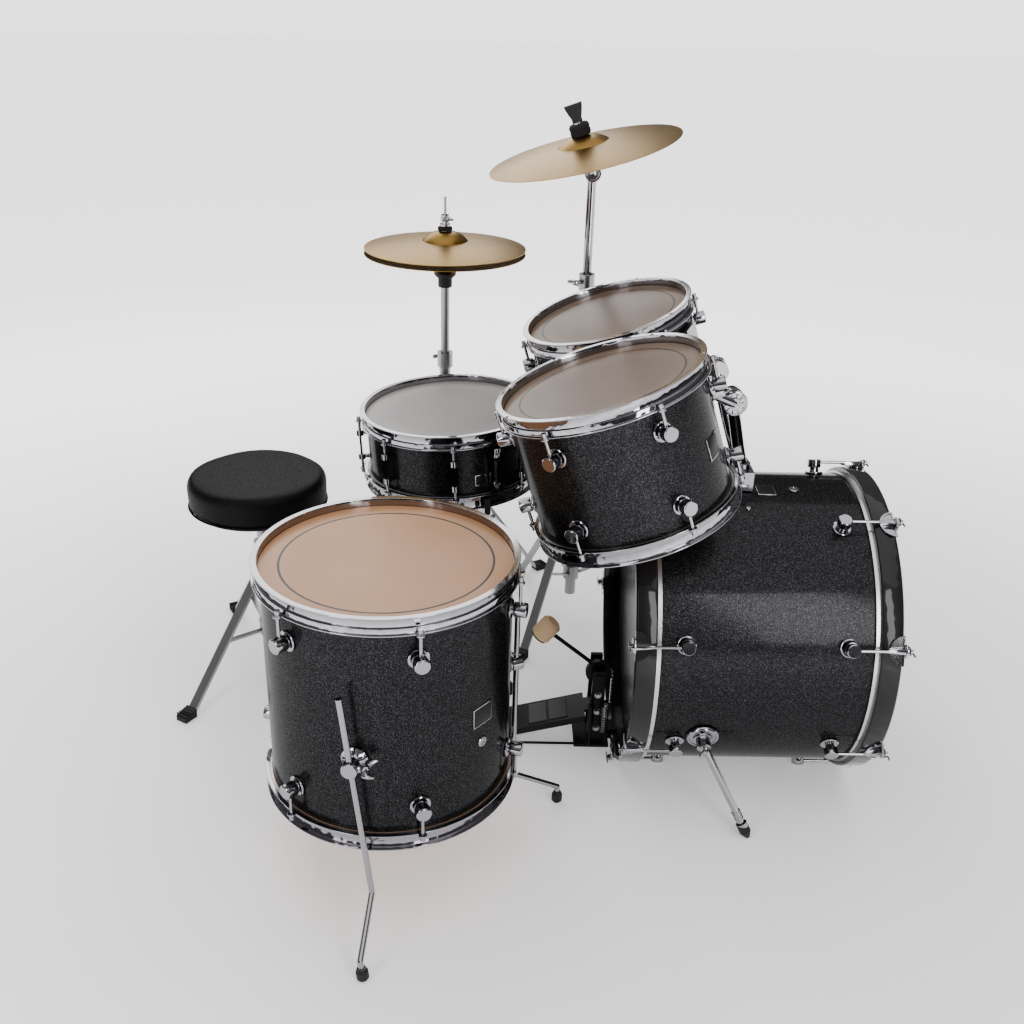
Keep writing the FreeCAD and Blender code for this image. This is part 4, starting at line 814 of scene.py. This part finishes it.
# %% Wing bolts on the crash stand and the throne
COLLAR_RADIUS, BELOW_TOP = 17.2, 17.0
for key, tube, azimuth in (("cymbal", "cymbal_upper_tube", 120), ("throne", "throne_post", 200)):
    axis = middle_of(tube)
    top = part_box(key + "_tripod")[1].z
    spot = Matrix.Translation((axis.x, axis.y, top - BELOW_TOP * MM)) @ spun("Z", azimuth)
    stamp(wing, key + "_wing", spot @ at(COLLAR_RADIUS + 3, 0, 0) @ Z_TO_X @ spun("Z", 90))
print(len(made_pieces), "pieces so far")

# %% [markdown]
# ## Felts, nuts and clutch on the cymbals
#
# The crash rocks between two thick black felts under a tall black wing nut. The tilter's post
# runs from its pivot through the middle of the bell, so the two joints' places give its line.
# The hi-hats have a clutch with a felt above, and a rubber sleeve over the cup below.

# %% The crash's felts and nut
pivot = Vector(joints["cymbal_tilt"]["pos_m"])
bell = Vector(joints["crash_rock"]["pos_m"])
post = along(bell, bell + (bell - pivot))
felt_form = dressed(lathe([(12, 0.6), (18, 0.6), (21, 3), (21.5, 11), (20, 13), (20, 14), (21.5, 16),
                           (21, 22), (18, 25), (5, 25.4)], 40), black_felt, slot="black_metal")
under_felt = dressed(lathe([(8, -13.5), (17, -13.5), (19.5, -11), (19.5, -5), (17, -2.6), (9, -2.4)],
                           40), black_felt, slot="black_metal")
cap = block((21, 16, 8), 1.6, (0, 0, 4))
edit()
for rise, wider, thinner in ((8, 1.30, 0.95), (12, 1.32, 0.86), (8, 1.10, 0.9)):
    choose(lambda spot, normal: normal.z > 0.9)
    extrude(rise)
    bpy.ops.transform.resize(value=(wider, thinner, 1))
cap = dressed(leave(), rubber, 35)
stamp(felt_form, "crash_top_felt", post, "crash")
stamp(under_felt, "crash_lower_felt", post, "tilter")
stamp(cap, "crash_wing_nut", post @ at(0, 0, 28.5, spin=80), "tilter")
boss = dressed(lathe([(13.5, -1), (13.5, 1), (12, 2), (10, 2), (9.4, 0.6), (7, 0.6), (6.4, 3.4),
                      (3, 4)], 36), chrome, 30)
spot = landing("cymbal_tilter", pivot / MM - Vector((100, 0, 0)), (1, 0, 0))
stamp(boss, "tilter_boss", spot, "tilter")
put_away(felt_form, under_felt, cap, boss)

# %% The hi-hat's clutch and sleeve
hat_x, hat_y, _ = middle_of("hihat_top_cymbal") / MM
hat_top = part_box("hihat_top_cymbal")[1].z / MM
cup_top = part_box("hihat_tripod")[1].z / MM
hat_felt = dressed(lathe([(7, 0.4), (14.5, 0.4), (16, 2), (16, 6.5), (14.5, 8), (9.5, 8.2)], 36),
                   black_felt, slot="black_metal")
stamp(hat_felt, "hihat_clutch_felt", at(hat_x, hat_y, hat_top + 0.5), "hihat_top")
clutch_nut = dressed(lathe([(9.6, 0), (11, 0), (11.5, 0.8), (11.5, 5.2), (11, 6), (9.6, 6)], 12),
                     chrome, 20)
stamp(clutch_nut, "hihat_clutch_nut", at(hat_x, hat_y, hat_top + 9.5), "hihat_top")
stamp(wing, "hihat_clutch_wing", at(hat_x, hat_y, hat_top + 26.3) @ spun("Z", 200)
      @ at(9, 0, 0) @ Z_TO_X @ spun("Z", 90) @ Matrix.Scale(0.7, 4), "hihat_top")
sleeve = dressed(lathe([(12, -34), (14.5, -34), (15.5, -32), (15.5, -15), (23, -8), (24.5, -5),
                        (24.5, -2), (12, -2)], 36), rubber)
stamp(sleeve, "hihat_cup_sleeve", at(hat_x, hat_y, cup_top - 3))
put_away(hat_felt, clutch_nut, sleeve)
print(len(made_pieces), "pieces so far")

# %% [markdown]
# ## Claws and T-rods on the bass drum
#
# Each claw is a half-moon plate pressed over the outside of the hoop, with a raised rim, a ridge
# that the rod runs in and a lip over the hoop's front. The exact model's claws give the places:
# their loose parts are found by walking from vertex to vertex, and the middle of each one gives
# its angle around the drum.


# %% Claws
def loose_middles(name):
    """The middle of the box of each loose part of a node's mesh, in the same order each time."""
    mesh = bmesh.new()
    mesh.from_mesh(nodes[name].data)
    bmesh.ops.remove_doubles(mesh, verts=mesh.verts, dist=MERGE)
    left, found = set(mesh.verts), []
    while left:
        start = left.pop()
        group, edge = {start}, [start]
        while edge:
            vertex = edge.pop()
            for other in (e.other_vert(vertex) for e in vertex.link_edges):
                if other in left:
                    left.discard(other)
                    group.add(other)
                    edge.append(other)
        low = Vector([min(v.co[i] for v in group) for i in range(3)])
        high = Vector([max(v.co[i] for v in group) for i in range(3)])
        found.append((low + high) / 2)
    mesh.free()
    return sorted(found, key=lambda spot: [round(v, 4) for v in spot])


def moon(radius, thick, rim):
    """A half disc in the XY plane, its straight edge on X = 0 and its rim raised."""
    alone()
    bpy.ops.mesh.primitive_circle_add(vertices=48, radius=radius * MM, fill_type="NGON")
    edit()
    bpy.ops.mesh.bisect(plane_co=(0, 0, 0), plane_no=(1, 0, 0), use_fill=False, clear_outer=True)
    bpy.ops.mesh.select_all(action="SELECT")
    extrude(thick)
    bpy.ops.mesh.inset(thickness=3.0 * MM)
    extrude(-rim)
    return leave()


bass_middle = middle_of("bass_shell")
hoop_low, hoop_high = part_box("bass_hoops")
hoop_radius = (hoop_high.z - hoop_low.z) / 2 / MM
face_along = (hoop_high.y - hoop_low.y) / 2 / MM
BASS_RADIUS = 279.4
ROD_RADIUS = BASS_RADIUS + 22.0


def claw_form():
    """Local X along the rod towards the front face, Z out of the shell; the face is at X = 0."""
    plate = moon(27, 3.6, 1.6)
    turned_to(plate, at(0.5, 0, hoop_radius - 0.3))
    spine = block((40, 10, 13.0), 1.4, (-18, 0, hoop_radius + 5.5))
    alone(spine)
    edit()
    choose(lambda spot, normal: spot.x < -0.030)
    bpy.ops.transform.resize(value=(1, 0.42, 0.5), center_override=(0, 0, ROD_RADIUS * MM))
    leave()
    lip = block((4.4, 23, 30), 1.5, (2.2, 0, hoop_radius - 5.0))
    nose = block((7, 12, 11), 1.6, (3.5, 0, ROD_RADIUS))
    return dressed(together([plate, spine, lip, nose]), chrome, 40)


def t_rod_form():
    """The rod's outer end and its T, along X; the bar lies along Y."""
    head = turned_to(lathe([(6.6, 7.2), (6.6, 8.6), (4.6, 9), (4.6, 12.5), (2.5, 13)], 20), Z_TO_X)
    bar = block((4.2, 36, 5.4), 1.5, (11.2, 0, 0))
    alone(bar)
    edit()
    choose(lambda spot, normal: abs(spot.y) > 0.015)
    bpy.ops.transform.resize(value=(0.6, 1, 0.5), center_override=(0.0112, 0, 0))
    leave()
    stem = turned_to(lathe([(2.8, -84), (2.8, 8)], 16), Z_TO_X)
    return dressed(together([head, bar, stem]), chrome, 40)


claw, t_rod = claw_form(), t_rod_form()
claws, t_rods = [], []
for index, spot in enumerate(loose_middles("bass_claws")):
    way = spot - bass_middle
    out = Vector((way.x, 0, way.z)).normalized()
    forward = Vector((0, 1 if way.y > 0 else -1, 0))
    middle = Matrix.Translation(bass_middle + forward * face_along * MM)
    turn = Matrix((forward, out.cross(forward), out)).transposed().to_4x4()
    claws.append(stamp(claw, f"bass_claw_{index}", middle @ turn))
    level = Vector((1, 0, 0))
    turn = Matrix((forward, level, forward.cross(level))).transposed().to_4x4()
    outer = Matrix.Translation(out * ROD_RADIUS * MM)
    t_rods.append(stamp(t_rod, f"bass_t_rod_{index}", outer @ middle @ turn))
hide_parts("bass_claws")
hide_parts("bass_t_rods")
print(len(claws), "claws and", len(t_rods), "T-rods")
put_away(claw, t_rod)

# %% [markdown]
# ## Leg clamps on the floor tom
#
# A leg runs through a thick round eye with a flat polished face. The eye stands on a ribbed dish
# against the shell, and a wing bolt beside it presses on the leg. The eye's bore is cut with a
# Boolean modifier, a little wider than the leg, so that the leg slides freely.


# %% Clamps with a bored eye
def bored(piece, radius, length):
    """Cut a round bore along Z through a piece."""
    cutter = lathe([(radius, -length / 2), (radius, length / 2)], 32)
    applied(piece, "BOOLEAN", operation="DIFFERENCE", object=cutter, solver="EXACT")
    bpy.data.objects.remove(cutter)
    return piece


def leg_clamp_form():
    """Local Z along the leg, X out of the shell, the origin on the leg's axis."""
    dish = turned_to(lathe([(21, -24.6), (22, -23.6), (22, -21.5), (20, -20), (13, -15), (11.5, -11),
                            (11.5, -8)], 40), Z_TO_X)
    ribs = [turned_to(block((7, 2.4, 9), 0.8, (-18.5, 0, 14.5)), spun("X", i * 36))
            for i in range(10)]
    eye = turned_to(lathe([(12, -10), (13.5, -8.5), (13.5, 8.5), (12.5, 10), (5, 10)], 40), Z_TO_X)
    eye = bored(eye, 5.5, 60)
    boss = turned_to(lathe([(6, 12.6), (6.5, 13), (6.5, 17), (5.5, 18)], 24), Z_TO_Y)
    return dressed(together([eye, dish, boss] + ribs), chrome, 40)


big_wing = dressed(wing_form(34, 26, 8.5, 6.0, 7), chrome, 60)
clamp = leg_clamp_form()
floor_middle = middle_of("floor_tom_shell") / MM
LEG_REACH, CLAMP_HEIGHT = 228.2, 330
for key, azimuth, lean in (("back", 50, 0), ("outer", 170, 6.4), ("front", -70, 0)):
    spot = (at(floor_middle.x, floor_middle.y, 0, spin=azimuth) @ at(LEG_REACH, 0, CLAMP_HEIGHT)
            @ spun("X", lean))
    stamp(clamp, "leg_clamp_" + key, spot)
    stamp(big_wing, "leg_wing_" + key, spot @ at(0, 12, 0) @ Z_TO_Y @ spun("Z", 20))
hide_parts("floor_tom_leg_brackets")
put_away(clamp)

# %% [markdown]
# ## Badges, vents and screws
#
# Each drum carries a small plate with no lettering, black inside a thin bright border. The bass
# drum and the floor tom have a vent with a plated ring, and the bass drum has two screws for the
# mount inside. on_shell() gives the places from an angle around the drum and a height along its
# axis. The middle of a flat badge sinks by half of the sag of the round shell across its width.

# %% Badges, vents and screws
BADGES = (("floor_tom", -129, -9, 44, 36, "kit_base"), ("tom_near", -120, -10, 38, 38, "tom_near"),
          ("tom_far", -60, -10, 38, 38, "tom_far"), ("bass", -96, -22, 36, 34, "kit_base"),
          ("snare", -159, -22, 24, 24, "snare"))
for key, azimuth, height, wide, tall, body in BADGES:
    spot = on_shell(key, azimuth, height)
    sunk = wide * wide / 8 / (KIT[key][1] / MM) * 0.5
    rim = dressed(block((wide, tall, 2.4), 0.6, (0, 0, 0.4 - sunk)), chrome)
    face = dressed(block((wide - 3.6, tall - 3.6, 2.4), 0.3, (0, 0, 0.8 - sunk)), black_metal)
    stamp(rim, key + "_badge_border", spot, body)
    stamp(face, key + "_badge_plate", spot, body)
    put_away(rim, face)

ring = dressed(lathe([(5.5, -1), (9.5, -1), (9.5, 1.2), (8, 2.6), (6, 2.6), (5.2, 1.0)], 36), chrome)
# The dark rubber-finished disc inside each vent ring on the bass drum and the floor tom is painted shade:
# it stands in for the dark inside of the drum seen through the vent hole.
vent_shade_disc = dressed(lathe([(5.4, -1), (5.4, 0.7), (3, 0.9)], 24), rubber)
screw = dressed(lathe([(4.6, -1), (4.6, 1.2), (3.4, 2.4), (1.8, 2.4), (1.8, 1.2)], 18), chrome)
VENTS = {"bass": on_shell("bass", -95, -76), "floor_tom": on_shell("floor_tom", -129, -60)}
stamp(ring, "bass_vent_ring", VENTS["bass"])
stamp(vent_shade_disc, "bass_vent_hole", VENTS["bass"])
stamp(screw, "bass_screw_near", on_shell("bass", -108, 20))
stamp(screw, "bass_screw_far", on_shell("bass", -72, 20))
stamp(ring, "floor_tom_vent_ring", VENTS["floor_tom"])
stamp(vent_shade_disc, "floor_tom_vent_hole", VENTS["floor_tom"])
put_away(ring, vent_shade_disc, screw)

# %% [markdown]
# ## The spurs and the tom holder
#
# The spur's bracket is a round plate with a stepped ring and a small wing bolt, and a knurled
# collar sits above the rubber foot. The tom holder's ratchets have star-shaped faces, and split
# rings with a key bolt lock the posts at their height in the mount.

# %% Spur rings, wings and collars
spur_ring = dressed(lathe([(16, 0), (29, 0), (30.5, 1.2), (30.5, 3.5), (28.5, 6.4), (24.6, 7.2),
                           (24, 5.4), (18, 5.4), (17, 9), (14, 9.6)], 48), chrome)
small_wing = dressed(wing_form(26, 11, 6.5, 4.4, 2.5), chrome, 60)
rings = [lathe([(7.0, low), (8.6, low + 0.8), (8.6, low + 3.6), (7.0, low + 4.4)], 20)
         for low in (0, 5, 10, 15)]
knurl = dressed(together(rings), chrome, 25)
SPUR_ANGLE, COLLAR_ABOVE_FOOT = math.radians(-23), 60
for key, side in (("right", -1), ("left", 1)):
    out = Vector((side * math.cos(SPUR_ANGLE), 0, math.sin(SPUR_ANGLE)))
    hinge_along = joints[f"spur_{key}_fold"]["pos_m"][1]
    base = Vector((bass_middle.x, hinge_along, bass_middle.z)) + out * BASS_RADIUS * MM
    stamp(spur_ring, f"spur_{key}_ring", along(base, base + out))
    stamp(small_wing, f"spur_{key}_wing", along(base + out * 28.5 * MM, base + out, 60), "spur_" + key)
    foot = Vector((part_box("spur_" + key)[0 if side < 0 else 1].x - side * 10 * MM, bass_middle.y, 0))
    top = base + out * 19.8 * MM
    collar = foot - (foot - top).normalized() * COLLAR_ABOVE_FOOT * MM
    stamp(knurl, f"spur_{key}_collar", along(collar, foot), "spur_" + key)
put_away(spur_ring, knurl)

# %% Star faces and memory locks
star = [lathe([(20, -2), (22, -1.4), (22, 0.6), (20.5, 1.4), (18.6, 1.4), (18, 0.4)], 48)]
star += [turned_to(block((9.5, 3.0, 3.6), 1.0, (13.6, 0, 0.2)), spun("Z", i * 36)) for i in range(10)]
star += [lathe([(9.5, -1), (9.5, 4.4), (8.2, 5.6), (5, 5.6)], 8), lathe([(4.6, 5), (4.6, 8), (3.6, 9)], 4)]
star = dressed(together(star), chrome, 30)
lock = dressed(together([
    lathe([(11.4, 0), (15.5, 0), (16.5, 1), (16.5, 14), (15.5, 15), (11.4, 15)], 40),
    block((15, 19, 14.5), 1.5, (19.5, 0, 7.5)),
    turned_to(lathe([(3.2, -16), (3.2, 15)], 12), at(21, 0, 7.5) @ Z_TO_Y)]), chrome, 35)
t_handle = dressed(together([
    lathe([(4.6, 0), (4.6, 9), (3.2, 10), (3.2, 17)], 20),
    turned_to(lathe([(3.4, -11), (4.2, -9), (4.2, 9), (3.4, 11)], 16), at(0, 0, 19) @ Z_TO_Y)]), chrome, 40)
hinge = dressed(together([block((34, 27, 25), 3.0), block((10, 30, 11), 2.0, (0, 0, 13)),
                          lathe([(4.2, 14), (4.2, 24), (3, 25)], 6)]), chrome, 30)
mount_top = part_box("bass_brackets")[1].z / MM
MOUNT_Y, HINGE_Y = -235, -152
for key, side in (("tom_near", -1), ("tom_far", 1)):
    centre = Vector(joints[key + "_tilt"]["pos_m"])
    outward = Vector((side, 0, 0))
    stamp(star, key + "_star", along(centre + outward * 24.6 * MM, centre + outward, 9), key)
    stamp(lock, key + "_memory_lock",
          at(side * 24, MOUNT_Y, mount_top + 1.5, spin=150 if side < 0 else 30), key + "_holder")
    stamp(t_handle, key + "_mount_handle", at(side * 38, MOUNT_Y, mount_top - 18) @ spun("Y", side * 90))
    stamp(hinge, key + "_hinge",
          at(centre.x / MM + side * 40, HINGE_Y, centre.z / MM + 30) @ spun("X", -25), key)
put_away(star, lock, t_handle, hinge)
print(len(made_pieces), "pieces so far")

# %% [markdown]
# ## Feet, pedal and snare
#
# The tripods' feet are rubber wedges with ribs across them. The bass pedal shows a coil spring,
# two grey grip pads on its board and a chain of small links. Places on sloping surfaces are found
# by casting a ray at the exact model and standing the piece on the face that it meets. All the
# feet share one node, so each stand takes the three whose distance from its axis fits its legs,
# and the three left over are the snare stand's.


# %% Ribs on the tripods' feet
rib = dressed(together([block((2.6, 29.5, 16), 0.9, (x, 0, 0)) for x in (-12, -6, 0, 6, 12)]), rubber)
STAND_REACH = {"hihat": (middle_of("hihat_pull_rod"), 297),
               "cymbal": (middle_of("cymbal_upper_tube"), 247),
               "throne": (middle_of("throne_post"), 260)}
left = loose_middles("stand_feet")
stands = {}
for key, (hub, reach) in STAND_REACH.items():
    stands[key] = sorted(left, key=lambda v: abs((v.xy - hub.xy).length / MM - reach))[:3]
    left = [v for v in left if v not in stands[key]]
stands["snare"] = left
for key, feet in stands.items():
    hub = sum(feet, Vector()) / 3
    for index, spot in enumerate(feet):
        heading = math.degrees(math.atan2(spot.y - hub.y, spot.x - hub.x))
        stamp(rib, f"{key}_foot_ribs_{index}", at(spot.x / MM, spot.y / MM, 9.2, spin=heading))
put_away(rib)

# %% The pedal's spring, chain, grip pads and bolts
alone()
bpy.ops.mesh.primitive_circle_add(vertices=10, radius=1.1 * MM, fill_type="NOTHING")
edit()
bpy.ops.transform.rotate(value=math.radians(90), orient_axis="X", center_override=(0, 0, 0))
bpy.ops.transform.translate(value=(7.4 * MM, 0, 0))
bpy.ops.object.mode_set(mode="OBJECT")
spring = bpy.context.object
applied(spring, "SCREW", axis="Z", angle=math.radians(360), screw_offset=4.4 * MM, iterations=14,
        steps=20, render_steps=20)
edit()
spring = dressed(leave(), chrome, 80)
stamp(spring, "pedal_spring", at(-48, -14, 41))
pad = dressed(block((64, 37, 3.4), 1.2, (0, 0, 1.2)), pad_grey, slot="black_rubber")
for index, y in enumerate((77, 118)):
    spot, ahead = (landing("pedal_footboard", (0, place, 200), (0, 0, -1)).translation
                   for place in (y, y + 30))
    slope = math.degrees(math.atan2(ahead.z - spot.z, ahead.y - spot.y))
    stamp(pad, f"pedal_grip_{index}", at(*spot / MM, lean=-slope), "pedal_board")
link = dressed(together([block((2.0, 3.2, 8.6), 0.8, (x, 0, 0)) for x in (-4.4, 4.4)]
                        + [turned_to(lathe([(2.4, -5.6), (2.4, 5.6)], 12), Z_TO_X)]), chrome, 35)
chain_low, chain_high = (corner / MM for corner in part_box("pedal_chain"))
LINKS = 9
for index in range(LINKS):
    height = chain_low.z + (chain_high.z - chain_low.z) * (index + 0.5) / LINKS
    spot = landing("pedal_chain", (-15, chain_low.y - 30, height), (0, 1, 0)).translation / MM
    stamp(link, f"chain_link_{index}", at(spot.x, spot.y + 1.5, spot.z), "pedal_board")
bolt_head = dressed(together([lathe([(5, 0), (5.6, 0.6), (5.6, 3.4), (4.8, 4.2)], 6),
                              lathe([(7, -0.4), (7, 0.9)], 24)]), chrome, 30)
for index, height in enumerate((120, 80, 40)):
    stamp(bolt_head, f"pedal_bolt_{index}", landing("pedal_frame", (-300, 0, height), (1, 0, 0)))
axle = Vector(joints["beater_swing"]["pos_m"])
head_middle = middle_of("pedal_beater")
shaft_way = Vector((0, head_middle.y - axle.y, head_middle.z - axle.z)).normalized()
back = shaft_way.cross(Vector((1, 0, 0)))
back = back if back.y > 0 else -back
spot = landing("pedal_beater", (head_middle + back * 0.1) / MM, -back).translation
cap = dressed(lathe([(17, -2.5), (17.5, -1), (17, 0.6), (14.5, 1.6), (5, 1.9), (4.6, 3.4), (2, 3.6)],
                    36), black_felt, slot="beater_felt")
stamp(cap, "beater_back", along(spot, spot + back), "beater")
put_away(spring, pad, link, cap)

# %% The snare's strainer knob
knob = dressed(together([lathe([(6.5, 0), (7.2, 0.8), (7.2, 9), (6.4, 10), (2, 10)], 14),
                         lathe([(2.4, -6), (2.4, 1)], 12)]), chrome, 30)
middle = middle_of("snare_strainer") / MM
strainer_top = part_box("snare_strainer")[1].z / MM
stamp(knob, "snare_strainer_knob", at(middle.x, middle.y, strainer_top - 1, lean=3), "snare")
put_away(knob, bolt_head, big_wing, small_wing, wing)
print(len(made_pieces), "pieces in all")
